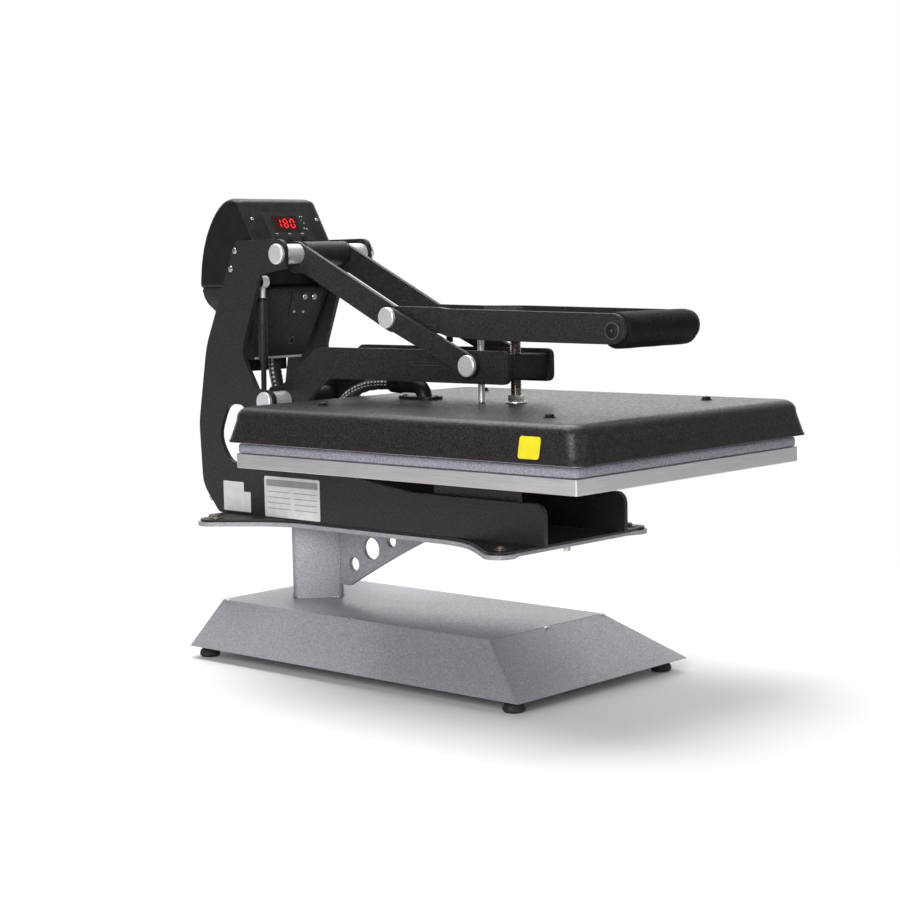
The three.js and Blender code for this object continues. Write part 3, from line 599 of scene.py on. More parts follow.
def make_grip():
    low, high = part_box("handle_grip")
    centre = (low + high) / 2
    half = (high.x - low.x) / 2 / MM
    radius = (high.z - low.z) / 2 / MM
    outer = [(-half, radius - 3.0), (-half + 0.5, radius - 1.5), (-half + 1.6, radius - 0.4)]
    for k in range(1, 24):
        t = -1 + 2 * k / 24
        outer.append((t * (half - 2.6), radius - 0.1 + 0.1 * math.cos(t * 9.0)))
    outer += [(half - 1.6, radius - 0.4), (half - 0.5, radius - 1.5), (half, radius - 3.0)]
    bore = 6.6
    profile = outer + [(half, bore), (-half, bore)]
    axis_point = Vector((0, centre.y, centre.z))
    bm = skin(turned_rings(axis_point, (1, 0, 0), profile, 56), closed=True)
    grip = place_piece("grip_foam", mesh_of("grip_foam", bm), "lever", "rubber", FOAM, 40.0)
    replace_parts(grip, "handle_grip")
    make_handle_screws()


def make_handle_screws():
    """The cross rod's ends: a flat socket screw in a shallow washer on each side plate."""
    low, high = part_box("handle_rod")
    centre = (low + high) / 2
    for side, sign in SIDES:
        face = Vector((sign * 69.05 * MM, centre.y, centre.z))
        # the washer takes the lighter rim paint: a painted highlight on its raised edge
        turned_piece(f"handle_washer_{side}", face, (sign, 0, 0),
                     [(0.0, 9.4), (0.35, 9.6), (0.6, 9.3), (0.62, 8.3)], "lever", "black_powder_coat", 36, RIM_HIGHLIGHT)
    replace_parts(join_screws("handle_screws", centre), "handle_rod")


def join_screws(name, centre):
    """The black cross rod with a low socket head at each end."""
    half = 69.3
    head = [(-half - 2.1, 3.0), (-half - 2.2, 3.4), (-half - 2.1, 5.4), (-half - 1.2, 7.6), (-half, 8.1),
            (-half, 6.0)]
    rod = head + [(-x, r) for x, r in reversed(head)]
    shell = turned_rings(centre, (1, 0, 0), rod, 36)
    parts = [skin(shell, capped=False)]
    for sign in (-1, 1):
        axis = Vector((sign, 0, 0))
        u, v = basis(axis)
        rims = []
        for height, radius, hexed in ((2.1, 3.0, False), (1.9, 2.7, True), (0.4, 2.6, True), (0.2, 0.02, True)):
            ring = []
            for angle in circle(36):
                reach = radius * 0.92 / to_flat(angle) if hexed else radius
                spoke = (u * math.cos(angle) + v * math.sin(angle)) * reach
                ring.append(centre + (axis * (half + height) + spoke) * MM)
            rims.append(ring)
        parts.append(skin(rims, capped=False))
    return place_piece(name, join_meshes(name, parts), "lever", "black_powder_coat", MATERIALS["plastic"], 28.0)


make_pad()
make_grip()


# ---- pressure screw ----
def threaded(centre, radius, depth, pitch, z0, z1, segments=24, rows=6):
    """A screw with a real helix: the ridge climbs one pitch in each turn."""
    rings = []
    count = int(round((z1 - z0) / pitch * rows))
    for i in range(count + 1):
        z = z0 + (z1 - z0) * i / count
        ring = []
        for angle in circle(segments):
            phase = ((z - z0) / pitch - angle / (2 * math.pi)) % 1.0
            fade = min(1.0, (z - z0) / pitch, (z1 - z) / pitch)
            reach = radius - depth * abs(2 * phase - 1) * fade - depth * (1 - fade) * 0.5
            ring.append(centre + Vector((reach * math.cos(angle), reach * math.sin(angle), z)) * MM)
        rings.append(ring)
    return skin(rings)


HEX_CORNER = 1.1547                       # a hexagon's corner over its flat


def hexagon(centre, across, z0, z1):
    """A nut with chamfered corners."""
    rings = []
    for z, chamfer in ((z0, 0.93), (z0 + 0.8, 1.0), (z1 - 0.8, 1.0), (z1, 0.93)):
        ring = []
        for angle in circle(24):
            reach = across / 2 * min(1 / to_flat(angle), HEX_CORNER * chamfer)
            ring.append(centre + Vector((reach * math.cos(angle), reach * math.sin(angle), z)) * MM)
        rings.append(ring)
    return skin(rings)


def make_screw():
    low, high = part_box("pressure_spindle")
    middle = (low + high) / 2
    y = (middle.y - ORIGIN.y) / MM
    foot = D(0, y, 0)
    bottom, top = (low.z - ORIGIN.z) / MM, (high.z - ORIGIN.z) / MM
    thread = threaded(foot, 6.5, 0.95, 2.6, COVER_TOP + 5, top - 1.2)
    collar = turned(foot, (0, 0, 1), [(bottom, 9.0), (bottom + 0.4, 9.4), (bottom + 5, 9.4), (bottom + 7.5, 6.4),
                                      (COVER_TOP + 6, 6.0)], 28)
    mesh = join_meshes("screw_thread", [thread, collar])
    screw = place_piece("screw_thread", mesh, "pressure_screw", "brass_plated_steel", None, 25.0)
    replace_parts(screw, "pressure_spindle")
    washer = turned(foot, (0, 0, 1), [(COVER_TOP + 0.4, 6.6), (COVER_TOP + 0.5, 12.6), (COVER_TOP + 0.9, 13.0),
                                      (COVER_TOP + 1.8, 12.8), (COVER_TOP + 2.1, 11.8), (COVER_TOP + 2.2, 6.6)], 36)
    place_piece("screw_washer", mesh_of("screw_washer", washer), "pressure_screw", "chrome")
    nut = hexagon(foot, 17.0, COVER_TOP + 2.3, COVER_TOP + 9.6)
    place_piece("screw_nut", mesh_of("screw_nut", nut), "pressure_screw", "chrome", ZINC)


make_screw()


# ---- heater cable ----
CABLE_ROUTE = (
    (8.5, 668, 103), (8.5, 667.8, 92), (8.5, 667, 80), (8, 655, 43), (6, 628, 14), (4, 600, 5), (2, 572, 12),
    (0.5, 548, 32), (0, 523, 54), (0, 494, 66), (0, 468, 69.6), (0, 445, 69.8), (0, 434, 69.8))
CABLE_RADIUS = 7.0
SECTION = 36
BRAID_STEP = 0.75
BRAID_PITCH = 7.0
BRAID_STRANDS = 9
BRAID_DEPTH = 0.7
TAIL_START = 524.0
TRACER_LINES = (65, 100, 262)
TRACER_HALF_WIDTH = 8.0
TRACER_PITCH = 5.8
TRACER_DASH = 3.4
RELIEF_LENGTH = 55.0
RELIEF_PITCH = 5.5


def smooth_path(points, spacing):
    """A centripetal Catmull-Rom curve through the points, sampled at an even spacing in mm."""
    pts = [Vector(p) for p in points]
    pts = [pts[0] * 2 - pts[1]] + pts + [pts[-1] * 2 - pts[-2]]
    fine = []
    for i in range(1, len(pts) - 2):
        four = pts[i - 1:i + 3]
        knots = [0.0]
        for a, b in zip(four, four[1:]):
            knots.append(knots[-1] + (b - a).length ** 0.5)
        for k in range(40):
            t = knots[1] + (knots[2] - knots[1]) * k / 40
            blend = four
            for depth in (1, 2):
                blend = [blend[j].lerp(blend[j + 1], (t - knots[j]) / (knots[j + depth] - knots[j]))
                         for j in range(4 - depth)]
            fine.append(blend[0].lerp(blend[1], k / 40))
    fine.append(pts[-2])
    return evenly(fine, spacing)


def evenly(fine, spacing):
    lengths = [0.0]
    for a, b in zip(fine, fine[1:]):
        lengths.append(lengths[-1] + (b - a).length)
    total = lengths[-1]
    count = int(round(total / spacing))
    even, j = [], 0
    for i in range(count + 1):
        want = total * i / count
        while j < len(fine) - 2 and lengths[j + 1] < want:
            j += 1
        span = max(lengths[j + 1] - lengths[j], 1e-9)
        even.append(fine[j].lerp(fine[j + 1], min(1.0, (want - lengths[j]) / span)))
    return even


def along(points, section, count=SECTION):
    """Rings square to a path, carried along it without twist. section(i, angle) gives mm from the path."""
    tangent = (points[1] - points[0]).normalized()
    side = tangent.cross(Vector((1, 0, 0))).normalized()
    rings = []
    for i, point in enumerate(points):
        tangent = (points[min(i + 1, len(points) - 1)] - points[max(i - 1, 0)]).normalized()
        side = (side - tangent * side.dot(tangent)).normalized()
        other = tangent.cross(side)
        ring = []
        for angle in circle(count):
            ring.append(point + (side * math.cos(angle) + other * math.sin(angle)) * section(i, angle))
        rings.append(ring)
    return rings


def weave(i, angle):
    """Height of the braid, 0 to 1: two families of strands that pass over each other in turn."""
    a = BRAID_STRANDS * angle / 2
    b = math.pi * i * BRAID_STEP / BRAID_PITCH
    over = math.cos(a + b) ** 2 * (0.5 + 0.5 * math.sin(a - b))
    under = math.cos(a - b) ** 2 * (0.5 - 0.5 * math.sin(a + b))
    return max(over, under)


def cable_piece(name, points, rings, first, last):
    """One stretch of the cable, with its tracer dots carried in a point attribute."""
    bm = skin([[D(*p) for p in ring] for ring in rings[first:last + 1]])
    mesh = bpy.data.meshes.new(name)
    bmesh.ops.recalc_face_normals(bm, faces=bm.faces)
    bm.to_mesh(mesh)
    bm.free()
    values = []
    for i in range(first, last + 1):
        for k in range(SECTION):
            degrees = 360 * k / SECTION
            on_line = min(abs((degrees - line + 180) % 360 - 180) for line in TRACER_LINES) < TRACER_HALF_WIDTH
            values.append(1.0 if on_line and (i * BRAID_STEP) % TRACER_PITCH < TRACER_DASH else 0.0)
    mesh.attributes.new("tracer", "FLOAT", "POINT").data.foreach_set("value", values)
    mesh.materials.append(MATERIALS["cable_sleeve"])
    mesh.shade_smooth()
    piece = add_object(name, mesh)
    path = [D(*p) for p in points[first:last + 1:4]]
    if (path[-1] - D(*points[last])).length > 1e-6:
        path.append(D(*points[last]))
    return piece, path


def relief_radius(i, _angle):
    """The ribbed sleeve under the box: it tapers down to the cable."""
    down = i * BRAID_STEP / RELIEF_LENGTH
    rib = 0.5 - 0.5 * math.cos(2 * math.pi * i * BRAID_STEP / RELIEF_PITCH)
    return CABLE_RADIUS + 0.35 + (1.6 - 1.0 * down) * (0.45 + 0.55 * rib)


def make_cable():
    """The run from the power box to the arm, then a short tail on to the elbow."""
    points = smooth_path(CABLE_ROUTE, BRAID_STEP)
    rings = along(points, lambda i, angle: CABLE_RADIUS - BRAID_DEPTH + BRAID_DEPTH * weave(i, angle))
    split = min(range(len(points)), key=lambda i: abs(points[i].y - TAIL_START))
    sleeve = along(points, relief_radius)
    relief, _ = cable_piece("cable_relief", points, sleeve, 0, round(RELIEF_LENGTH / BRAID_STEP))
    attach(relief, "frame")
    run, run_path = cable_piece("braided_cable", points, rings, 0, split)
    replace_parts(run, "heater_cable")
    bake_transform(run)
    tail, tail_path = cable_piece("braided_cable_tail", points, rings, split, len(points) - 1)
    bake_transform(tail)


make_cable()


def make_cable_fittings():
    roof_z = 108.0
    slab_piece("power_box_floor", D(0, 669, roof_z), (1, 0, 0), (0, 1, 0),
               rounded_outline(37.6, 11.6, 1.5), 1.6, "frame", "black_powder_coat")
    collar = [(0.0, 8.0), (0.2, 10.6), (1.0, 11.0), (7.0, 11.0), (8.0, 10.4), (10.0, 10.4), (10.4, 9.0)]
    turned_piece("cable_gland", D(8.5, 668, 107.8), (0, 0, -1), collar, "frame", "chrome", 36)
    cuff = []
    for k in range(6):
        y = 2.6 * k
        cuff += [(y, 10.6 - 0.2 * k), (y + 1.4, 10.6 - 0.2 * k), (y + 1.6, 9.7 - 0.2 * k), (y + 2.5, 9.7 - 0.2 * k)]
    elbow_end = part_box("cable_elbow")[1].y
    place = Vector((0, elbow_end - 4.0 * MM, D(0, 0, 69.8).z))
    turned_piece("elbow_cuff", place, (0, 1, 0), [(0.0, 9.6)] + cuff + [(15.8, 8.0)], "heat_head", "plastic", 28)


make_cable_fittings()


# ---- controller ----
LONG_RADIUS = 20.0                        # from here on a corner is a gentle bend, kept as drawn


def corner_arc(points, steps=6):
    """A closed outline of (a, b, radius) with rounded corners, sampled finely."""
    out = []
    count = len(points)
    for i in range(count):
        a, b, radius = points[i]
        here = Vector((a, b))
        before = Vector(points[i - 1][:2]) - here
        after = Vector(points[(i + 1) % count][:2]) - here
        half = before.angle(after) / 2
        reach = min(radius / math.tan(half), 0.5 * before.length, 0.5 * after.length)
        start, end = here + before.normalized() * reach, here + after.normalized() * reach
        for k in range(steps + 1):
            t = k / (steps + 1) if radius > LONG_RADIUS else k / steps
            out.append(start.lerp(here, t).lerp(here.lerp(end, t), t))
    return out


def inset(points, distance):
    """A polygon of (a, b, radius) moved inwards, with its corner radii kept concentric."""
    count = len(points)
    area = sum(points[i][0] * points[(i + 1) % count][1] - points[(i + 1) % count][0] * points[i][1]
               for i in range(count))
    turn = 1 if area > 0 else -1
    out = []
    for i in range(count):
        here = Vector(points[i][:2])
        before = (here - Vector(points[i - 1][:2])).normalized()
        after = (Vector(points[(i + 1) % count][:2]) - here).normalized()
        normal_a = Vector((-before.y, before.x)) * turn
        normal_b = Vector((-after.y, after.x)) * turn
        middle = (normal_a + normal_b).normalized()
        moved = here + middle * (distance / max(middle.dot(normal_a), 0.3))
        convex = (before.x * after.y - before.y * after.x) * turn > 0
        radius = points[i][2]
        out.append((moved.x, moved.y, max(radius - distance, 0.5) if convex and radius < LONG_RADIUS else radius))
    return out


PANEL_LOW, PANEL_HIGH = (612.5, 241.0), (645.0, 297.5)   # the sloping front panel, as (y, z) of its edges


def panel_axes():
    up = Vector((0, PANEL_HIGH[0] - PANEL_LOW[0], PANEL_HIGH[1] - PANEL_LOW[1])).normalized()
    return up, Vector((0, -up.z, up.y))


def on_panel(x, up_mm, out_mm=0.0):
    up, out = panel_axes()
    return D(x, *PANEL_LOW) + (up * up_mm + out * out_mm) * MM


def cut(piece, tools):
    """Takes solids out of a piece and applies the result."""
    for tool in tools:
        modify(piece, "cut", "BOOLEAN", operation="DIFFERENCE", solver="EXACT", object=tool)
    graph = bpy.context.evaluated_depsgraph_get()
    result = bpy.data.meshes.new_from_object(piece.evaluated_get(graph))
    piece.modifiers.clear()
    old = piece.data
    piece.data = result
    bpy.data.meshes.remove(old)
    for tool in tools:
        bpy.data.objects.remove(tool)
    piece.data.shade_smooth()
    piece.data.set_sharp_from_angle(angle=math.radians(30))


def tool(bm):
    return add_object("cutter", mesh_of("cutter", bm))


SHELL = (
    (612.3, 240.6, 5), (645.4, 298.6, 9), (660.0, 302.6, 30), (675.0, 299.6, 90), (689.5, 288.6, 90),
    (701.5, 273.5, 90), (711.0, 256.5, 90), (718.0, 238.0, 90), (722.4, 218.0, 90), (724.4, 200.0, 30),
    (724.8, 188.2, 7), (641.0, 188.2, 7), (640.5, 214.0, 7))
SHELL_HALF = 67.2
CHEEK_ROUND = 9.0
CHEEK_INSET = 6.2


def shell_rings():
    """Slices across the controller whose outline draws in as the cheeks round over."""
    rings = []
    for side in (-1, 1):
        slices = []
        for k in range(9):
            angle = math.radians(90 * k / 8)
            x = SHELL_HALF - CHEEK_ROUND + CHEEK_ROUND * math.cos(angle)
            slices.append((x, CHEEK_INSET * (1 - math.sin(angle))))
        slices.insert(0, (SHELL_HALF, CHEEK_INSET + 1.2))
        if side > 0:
            slices.reverse()
        for x, distance in slices:
            outline = corner_arc(inset(SHELL, distance), 7)
            rings.append([D(side * x, p.x, p.y) for p in outline])
    return rings


def make_controller():
    shell = place_piece("controller_shell", mesh_of("controller_shell", skin(shell_rings())), "frame", "plastic",
                        None, 32.0)
    up, out = panel_axes()
    side = Vector((1, 0, 0))
    pockets = [slab(on_panel(-2, 33, -4.4), side, up, rounded_outline(21.5, 11.5, 0.6), 8.0)]
    pockets += [turned(on_panel(x, 11, -6.0), out, [(0, 5.0), (12, 5.0)], 28) for x in (-24, -2, 20)]
    membrane = slab_piece("panel_membrane", on_panel(1.5, 28.5, 0.0), side, up, rounded_outline(37.5, 21.5, 2.5, 5),
                          0.3, "frame", "plastic", MEMBRANE, 0.1)
    for piece in (shell, membrane):
        cut(piece, [tool(pocket.copy()) for pocket in pockets])
    for pocket in pockets:
        pocket.free()
    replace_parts(shell, "controller_housing", "controller_rear_cover")
    slab_piece("controller_gasket", D(0, 682, 187.6), side, (0, 1, 0), rounded_outline(65, 39, 4), 2.2, "frame",
               "rubber")


make_controller()


def make_display():
    up, out = panel_axes()
    side = Vector((1, 0, 0))
    window = on_panel(-2, 33, 0.42)
    strokes = {"a": (0, 6, 1), "b": (3, 3, 0), "c": (3, -3, 0), "d": (0, -6, 1), "e": (-3, -3, 0), "f": (-3, 3, 0),
               "g": (0, 0, 1)}
    shapes = {"1": "bc", "8": "abcdefg", "0": "abcdef"}
    parts = []
    for index, digit in enumerate("180"):
        for stroke in shapes[digit]:
            sx, sy, flat = strokes[stroke]
            x = (index - 1) * 11.6 + sx + sy * 0.11
            w, h = (2.35, 0.85) if flat else (0.85, 2.45)
            if flat:
                outline = [(-w, 0), (-w + h, -h), (w - h, -h), (w, 0), (w - h, h), (-w + h, h)]
            else:
                outline = [(-w, -h + w), (0, -h), (w, -h + w), (w, h - w), (0, h), (-w, h - w)]
            centre = window + (side * x + up * sy) * MM
            parts.append(slab(centre, side, up, outline, 0.12))
    place_piece("display_digits", join_meshes("display_digits", parts), "frame", "display", DIGIT_RED)
    marks = []
    for x, y, w, h in ((27.2, 43.0, 1.3, 0.8), (30.8, 43.4, 0.9, 0.9), (27.4, 37.6, 0.9, 0.5), (30.4, 34.0, 0.9, 0.9),
                       (27.2, 26.0, 1.1, 0.9), (31.2, 25.2, 1.3, 1.0)):
        marks.append(slab(on_panel(x, y, 0.28), side, up, rounded_outline(w, h, min(w, h) * 0.6, 3), 0.1))
    for x in (-24, -2, 20):
        marks.append(slab(on_panel(x, 18.2, 0.28), side, up, rounded_outline(2.6, 0.5, 0.3, 2), 0.1))
    place_piece("panel_marks", join_meshes("panel_marks", marks), "frame", "plastic", LEGEND)
    bezel_out = rounded_outline(21.5, 11.5, 0.8, 3)
    bezel_in = rounded_outline(20.6, 10.6, 0.6, 3)
    rings = []
    for outline, height in ((bezel_out, -0.6), (bezel_out, 0.55), (bezel_in, 0.55), (bezel_in, -0.6)):
        rings.append([on_panel(-2 + p[0], 33 + p[1], height) for p in outline])
    place_piece("display_bezel", mesh_of("display_bezel", skin(rings, closed=True)), "frame", "plastic")
    for name, x, y in (("left", -55.9, 39.6), ("right", 55.4, 38.6)):
        hex_screw(f"panel_screw_{name}", on_panel(x, y, -0.3), out, 0.55, "frame", "chrome", ZINC)


make_display()


# ---- frame, arm and lever hardware ----
def make_hardware():
    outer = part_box("frame_side_right")[1].x / MM
    arm_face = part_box("arm_side_right")[1].x / MM
    for side, sign in SIDES:
        for end, y, z in (("upper", 643.1, 235.8), ("lower", 651.6, 213.5)):
            hex_screw(f"frame_screw_{end}_{side}", D(sign * outer, y, z), (sign, 0, 0), 0.86, "frame", "chrome", ZINC)
        for name, y, z, half, body in (("guide_tab", 355, 99.4, 22.6, "arm"), ("web_tab", 351.5, 143, 14.2, "lever")):
            rims = [rounded_outline(half, 2.3, 1.2, 4), rounded_outline(half - 0.5, 1.8, 0.9, 4)]
            rings = [[D(sign * (arm_face + out), y + p[0], z + p[1]) for p in rim]
                     for rim, out in ((rims[0], -0.2), (rims[0], 0.4), (rims[1], 0.4), (rims[1], -0.2))]
            # the raised rims take the lighter rim paint: a painted highlight along their edges
            place_piece(f"{name}_{side}", mesh_of(name, skin(rings, closed=True)), body, "black_powder_coat",
                        RIM_HIGHLIGHT)
        # a near-black disc on the arm face: painted shade standing in for the hole's dark inside
        turned_piece(f"arm_hole_painted_shade_{side}", D(sign * (arm_face - 0.25), 501.6, 98.1), (sign, 0, 0),
                     [(0.0, 2.6), (0.3, 2.6), (0.32, 1.9)], "arm", "black_powder_coat", 20, DARK_LINES_AND_SHADE)


make_hardware()


def make_mount_bolts():
    """Small bronze-plated button heads on flat discs of the same finish, which stand for the CAD bolts."""
    plate_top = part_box("frame_base_plate")[1].z
    for name in (node for node in frame["nodes"] if node.startswith("mount_bolt")):
        low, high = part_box(name)
        place = Vector(((low.x + high.x) / 2, (low.y + high.y) / 2, plate_top))
        tag = name.replace("mount_bolt_", "")
        disc = turned_piece(f"bolt_disc_{tag}", place - Vector((0, 0, 0.1 * MM)), (0, 0, 1),
                            [(0.0, 7.4), (0.3, 7.9), (1.1, 7.9), (1.4, 7.5), (1.4, 3.0)], "frame", "chrome", 32,
                            BRONZE)
        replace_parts(disc, name)
        hex_screw(f"bolt_head_{tag}", place + Vector((0, 0, 1.2 * MM)), (0, 0, 1), 1.0, "frame", "chrome", BRONZE)


make_mount_bolts()


def box_front(x, z, out_mm=0.0):
    """A place on the lower box's sloping front face, at a height in datum mm, and its outward direction."""
    (y0, z0), (y1, z1) = (625.0, 180.0), (652.0, 98.0)
    t = (z0 - z) / (z0 - z1)
    slope = Vector((0, y1 - y0, z1 - z0)).normalized()
    out = Vector((0, slope.z, -slope.y)).normalized()
    out = out if out.y < 0 else -out
    return D(x, y0 + (y1 - y0) * t, z) + out * out_mm * MM, slope, out


def make_box_details():
    across = Vector((1, 0, 0))
    place, slope, out = box_front(30, 168)
    slab_piece("box_bracket", place, across, -slope, rounded_outline(27, 16, 2, 4), 1.4, "frame", "black_powder_coat",
               None, 0.4)
    for index, (x, z, size) in enumerate((
            (24.1, 177, 0.86), (40.7, 176.6, 0.86), (10.6, 158.2, 0.45), (26.8, 157.7, 0.45))):
        spot, _, out = box_front(x, z, 1.3)
        hex_screw(f"bracket_screw_{index}", spot, out, size, "frame", "chrome", ZINC)
    spot, _, out = box_front(17.9, 120.5, -0.2)
    # the cup takes the lighter rim paint: a painted highlight on its rim
    turned_piece("box_screw_cup", spot, out, [(0.0, 3.4), (0.3, 5.6), (0.9, 5.4), (1.1, 4.4), (0.6, 3.2)], "frame",
                 "black_powder_coat", 28, RIM_HIGHLIGHT)
    hex_screw("box_round_screw", spot, out, 0.66, "frame", "plastic")
    place, slope, out = box_front(0, 99.6, 0.05)
    slab_piece("box_lip_strip", place, across, -slope, rounded_outline(41, 1.5, 0.5, 3), 0.6, "frame", "chrome",
               None, 0.2)


make_box_details()


def make_gas_spring_details():
    low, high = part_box("gas_spring_cylinder")
    x = (low.x + high.x) / 2 / MM
    top, bottom = D(x, 616, 197), D(x, 618.7, 52.35)
    axis = (top - bottom).normalized()
    turned_piece("spring_seal_collar", bottom + axis * 120.5 * MM, axis,
                 [(0, 5.9), (0.4, 6.1), (3.2, 6.1), (3.9, 5.4), (4.0, 3.7)], "spring_cylinder", "black_powder_coat",
                 28, MATERIALS["plastic"])
    for name, end, body in (("upper", top, "spring_rod"), ("lower", bottom, "spring_cylinder")):
        turned_piece(f"spring_eye_clip_{name}", Vector((end.x - 5.6 * MM, end.y, end.z)), (-1, 0, 0),
                     [(0, 6.6), (0.2, 6.9), (0.9, 6.9), (1.1, 6.4)], body, "chrome", 28,
                     ZINC if name == "lower" else MATERIALS["plastic"])
    turned_piece("spring_upper_socket", Vector((top.x + 5.2 * MM, top.y, top.z)), (-1, 0, 0),
                 [(0, 5.0), (0.2, 6.7), (0.6, 7.0), (10.2, 7.0), (10.7, 6.7), (10.8, 5.0)], "spring_rod", "chrome", 32,
                 MATERIALS["plastic"])


make_gas_spring_details()


# ---- stand details ----
def bead(points, radius_mm):
    """A weld bead: a lumpy half-round run along the points, in datum mm."""
    rings = along(smooth_path(points, 1.3), lambda i, a: radius_mm * (1.0 + 0.16 * math.sin(i * 2.1)), 8)
    return skin([[D(*p) for p in ring] for ring in rings])


def make_stand_details():
    post_y, reach = 586.5, 63.5 / math.sqrt(2)
    front = post_y - reach + 2.6
    parts = []
    for x in (-3.0, 3.0):
        parts.append(bead([(x, front - 0.2, z) for z in (-184, -160, -130, -108)], 1.5))
    foot_z = -202.1
    corners = [(0, -reach + 1), (reach - 1, 0), (0, reach - 1), (-reach + 1, 0)]
    for i in range(4):
        (xa, ya), (xb, yb) = corners[i], corners[(i + 1) % 4]
        for z, radius in ((foot_z, 1.7), (-105.6, 1.4)):
            parts.append(bead([(xa + (xb - xa) * t, post_y + ya + (yb - ya) * t, z)
                               for t in (0.08, 0.36, 0.64, 0.92)], radius))
    parts.append(bead([(3.0, y, -105.4) for y in (380, 440, 500, 540)], 1.3))
    place_piece("weld_beads", join_meshes("weld_beads", parts), "frame", "silver_paint", None, 60.0)
    spots = []
    for x, y in ((-102.6, 645), (-103.0, 424), (-5, 206.4), (100, 207)):
        spots.append(turned(D(x, y, foot_z - 0.6), (0, 0, 1), [(0, 3.4), (0.7, 3.2), (1.15, 2.3), (1.3, 0.8)], 18))
    place_piece("weld_spots", join_meshes("weld_spots", spots), "frame", "chrome", ZINC)
    turned_piece("front_stud", D(-8, 171, -110.4), (0, 0, 1), [(0, 3.4), (0.4, 4.0), (4.6, 4.0), (5.2, 4.0)], "frame",
                 "chrome", 24, ZINC)
    for side, sign in SIDES:
        for end, y in (("front", 146), ("rear", 646)):
            turned_piece(f"foot_washer_{end}_{side}", D(sign * 134, y, -256.6), (0, 0, 1),
                         [(0, 9.6), (0.3, 10.2), (1.6, 10.2), (1.9, 9.8)], "frame", "chrome", 28, ZINC)
            slab_piece(f"foot_flange_{end}_{side}", D(sign * 134, y, -254.6), (1, 0, 0), (0, 1, 0),
                       rounded_outline(17, 14 if end == "front" else 11.5, 3, 4), 1.6, "frame", "silver_paint")
    slab_piece("pan_seam", D(0, 206.4, foot_z + 0.02), (1, 0, 0), (0, 1, 0), rounded_outline(101, 0.35, 0.2, 2), 0.12,
               "frame", "silver_paint", DARK_LINES_AND_SHADE)
    turned_piece("rear_nut", D(-69.4, 709.0, -78.7), (1, 0, 0), [(0, 5.0), (0.5, 5.6), (4.5, 5.6), (5, 5.0)], "frame",
                 "chrome", 6, ZINC)


make_stand_details()


# ---- labels ----
def make_labels():
    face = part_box("frame_side_left")[0].x / MM
    across, up = (0, -1, 0), (0, 0, 1)
    step = [(-25.5, -18.8), (25.5, -18.8), (25.5, 6.8), (13.0, 6.8), (13.0, 18.8), (-25.5, 18.8)]
    slab_piece("label_stepped", D(face - 0.02, 652.8, -73.9), across, up, step, 0.16, "frame", "black_powder_coat",
               LABEL_WHITE)
    plate = D(face - 0.02, 551.5, -69.8)
    printed = plate - Vector((0.15, 0, 0)) * MM
    slab_piece("label_rating", plate, across, up, rounded_outline(49.6, 25.4, 2.2, 4), 0.16, "frame",
               "black_powder_coat", LABEL_WHITE)
    slab_piece("label_rating_header", printed + Vector((0, 0, 17.5)) * MM, across, up,
               rounded_outline(46.0, 4.2, 1.0, 3), 0.06, "frame", "black_powder_coat", LABEL_GREY)
    lines = []
    for column in (-24.0, 24.0):
        for z in (6.5, -0.5, -7.5, -14.5):
            lines.append(slab(printed + Vector((0, column, z)) * MM, across, up,
                              rounded_outline(20.0, 0.5, 0.2, 2), 0.05))
    place_piece("label_rating_rules", join_meshes("label_rating_rules", lines), "frame", "black_powder_coat",
                LABEL_GREY)


make_labels()


def make_cover_label():
    """A plain yellow caution patch with a dark border, and no sign on it."""
    low_z, high_z = 18.0, 42.0
    bottom_out, top_out = 212.2, 207.4
    tilt = Vector((bottom_out - top_out, 0, high_z - low_z)).normalized()
    across = Vector((0, -1, 0))
    centre = D(-(bottom_out + top_out) / 2 - 0.15, 55, (low_z + high_z) / 2 - 0.5)
    slab_piece("cover_label_border", centre, across, tilt, rounded_outline(15.4, 13.0, 4.4, 6), 0.25, "heat_head",
               "cover_paint", DARK_LINES_AND_SHADE)
    out = across.cross(tilt)
    slab_piece("cover_label", centre + out * 0.22 * MM, across, tilt, rounded_outline(14.0, 11.6, 3.4, 6), 0.12,
               "heat_head", "cover_paint", LABEL_YELLOW)


make_cover_label()


# ---- stage ----
def seen_by_camera(tree):
    return tree.nodes.new("ShaderNodeLightPath").outputs["Is Camera Ray"]


def mix_shaders(tree, factor, first, second, surface):
    mix = tree.nodes.new("ShaderNodeMixShader")
    for source, socket in zip((factor, first, second), mix.inputs):
        tree.links.new(source, socket)
    tree.links.new(mix.outputs["Shader"], surface)


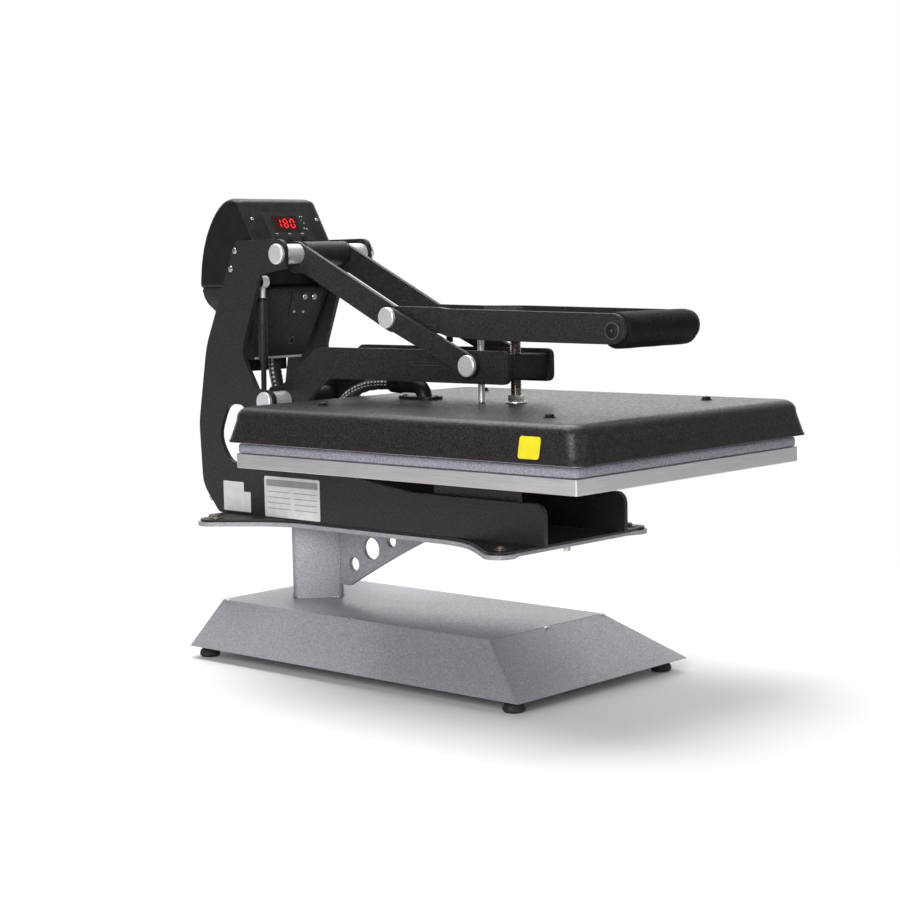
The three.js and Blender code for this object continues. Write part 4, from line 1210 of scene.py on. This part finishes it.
def make_stage():
    """Pale paper that fades into the white surround with distance from the press."""
    bm = bmesh.new()
    bmesh.ops.create_grid(bm, x_segments=2, y_segments=2, size=30.0)
    mesh = bpy.data.meshes.new("floor")
    bm.to_mesh(mesh)
    bm.free()
    paper = Paint("floor_paper", (0.80, 0.80, 0.80), 0.75, 0.0, Specular_IOR_Level=0.2)
    paper.rough(paper.noise(4, 2.0), 0.7, 0.8)
    tree = paper.tree
    away = tree.nodes.new("ShaderNodeVectorMath")
    away.operation = "LENGTH"
    paper.link(paper.stretched((1.0, 1.0, 0.0)), away.inputs[0])
    fade = paper.ramp(away.outputs["Value"], 0.0, 1.0, 0.45, 1.15)
    gate = tree.nodes.new("ShaderNodeMath")
    gate.operation = "MULTIPLY"
    paper.link(fade, gate.inputs[0])
    paper.link(seen_by_camera(tree), gate.inputs[1])
    glow = tree.nodes.new("ShaderNodeEmission")
    glow.inputs["Strength"].default_value = 1.0
    mix_shaders(tree, gate.outputs["Value"], paper.shader.outputs["BSDF"], glow.outputs["Emission"],
                tree.nodes["Material Output"].inputs["Surface"])
    mesh.materials.append(paper.material)
    floor = add_object("floor", mesh)


def area_light(name, place, target, size, power):
    data = bpy.data.lights.new(name, "AREA")
    data.shape = "RECTANGLE"
    data.size, data.size_y = size
    data.energy = power
    light = add_object(name, data)
    light.location = place
    light.rotation_mode = "QUATERNION"
    light.rotation_quaternion = (Vector(target) - Vector(place)).to_track_quat("-Z", "Y")
    light.visible_camera = False


WALL_DIRECTION = Vector((0.72, 0.66, 0.22)).normalized()
ROOM_DIM, WALL_BRIGHT = 0.16, 1.6


def make_world():
    """White where the camera sees it; for the press, a dim room with one bright wall behind."""
    world = bpy.data.worlds.new("studio")
    bpy.context.scene.world = world
    world.use_nodes = True
    tree = world.node_tree
    room = tree.nodes["Background"]
    room.inputs["Color"].default_value = (1.0, 1.0, 1.0, 1.0)
    toward = tree.nodes.new("ShaderNodeVectorMath")
    toward.operation = "DOT_PRODUCT"
    tree.links.new(tree.nodes.new("ShaderNodeTexCoord").outputs["Generated"], toward.inputs[0])
    toward.inputs[1].default_value = WALL_DIRECTION
    wall = map_range(tree, toward.outputs["Value"], ROOM_DIM, WALL_BRIGHT, 0.45, 0.95)
    wall.interpolation_type = "SMOOTHSTEP"
    tree.links.new(wall.outputs["Result"], room.inputs["Strength"])
    white = tree.nodes.new("ShaderNodeBackground")
    white.inputs["Color"].default_value = (1.0, 1.0, 1.0, 1.0)
    mix_shaders(tree, seen_by_camera(tree), room.outputs["Background"], white.outputs["Background"],
                tree.nodes["World Output"].inputs["Surface"])


def make_lights():
    area_light("overhead", (0.2, 0.5, 2.2), (0, 0, 0.3), (1.8, 1.8), 64)
    area_light("key", (-2.3, -1.2, 1.1), (0, 0, 0.2), (1.1, 1.1), 52)
    area_light("fill", (0.2, -2.6, 0.9), (0, 0, 0.2), (0.9, 0.9), 6)
    bpy.context.scene.view_settings.view_transform = "Standard"


make_stage()
make_world()
make_lights()
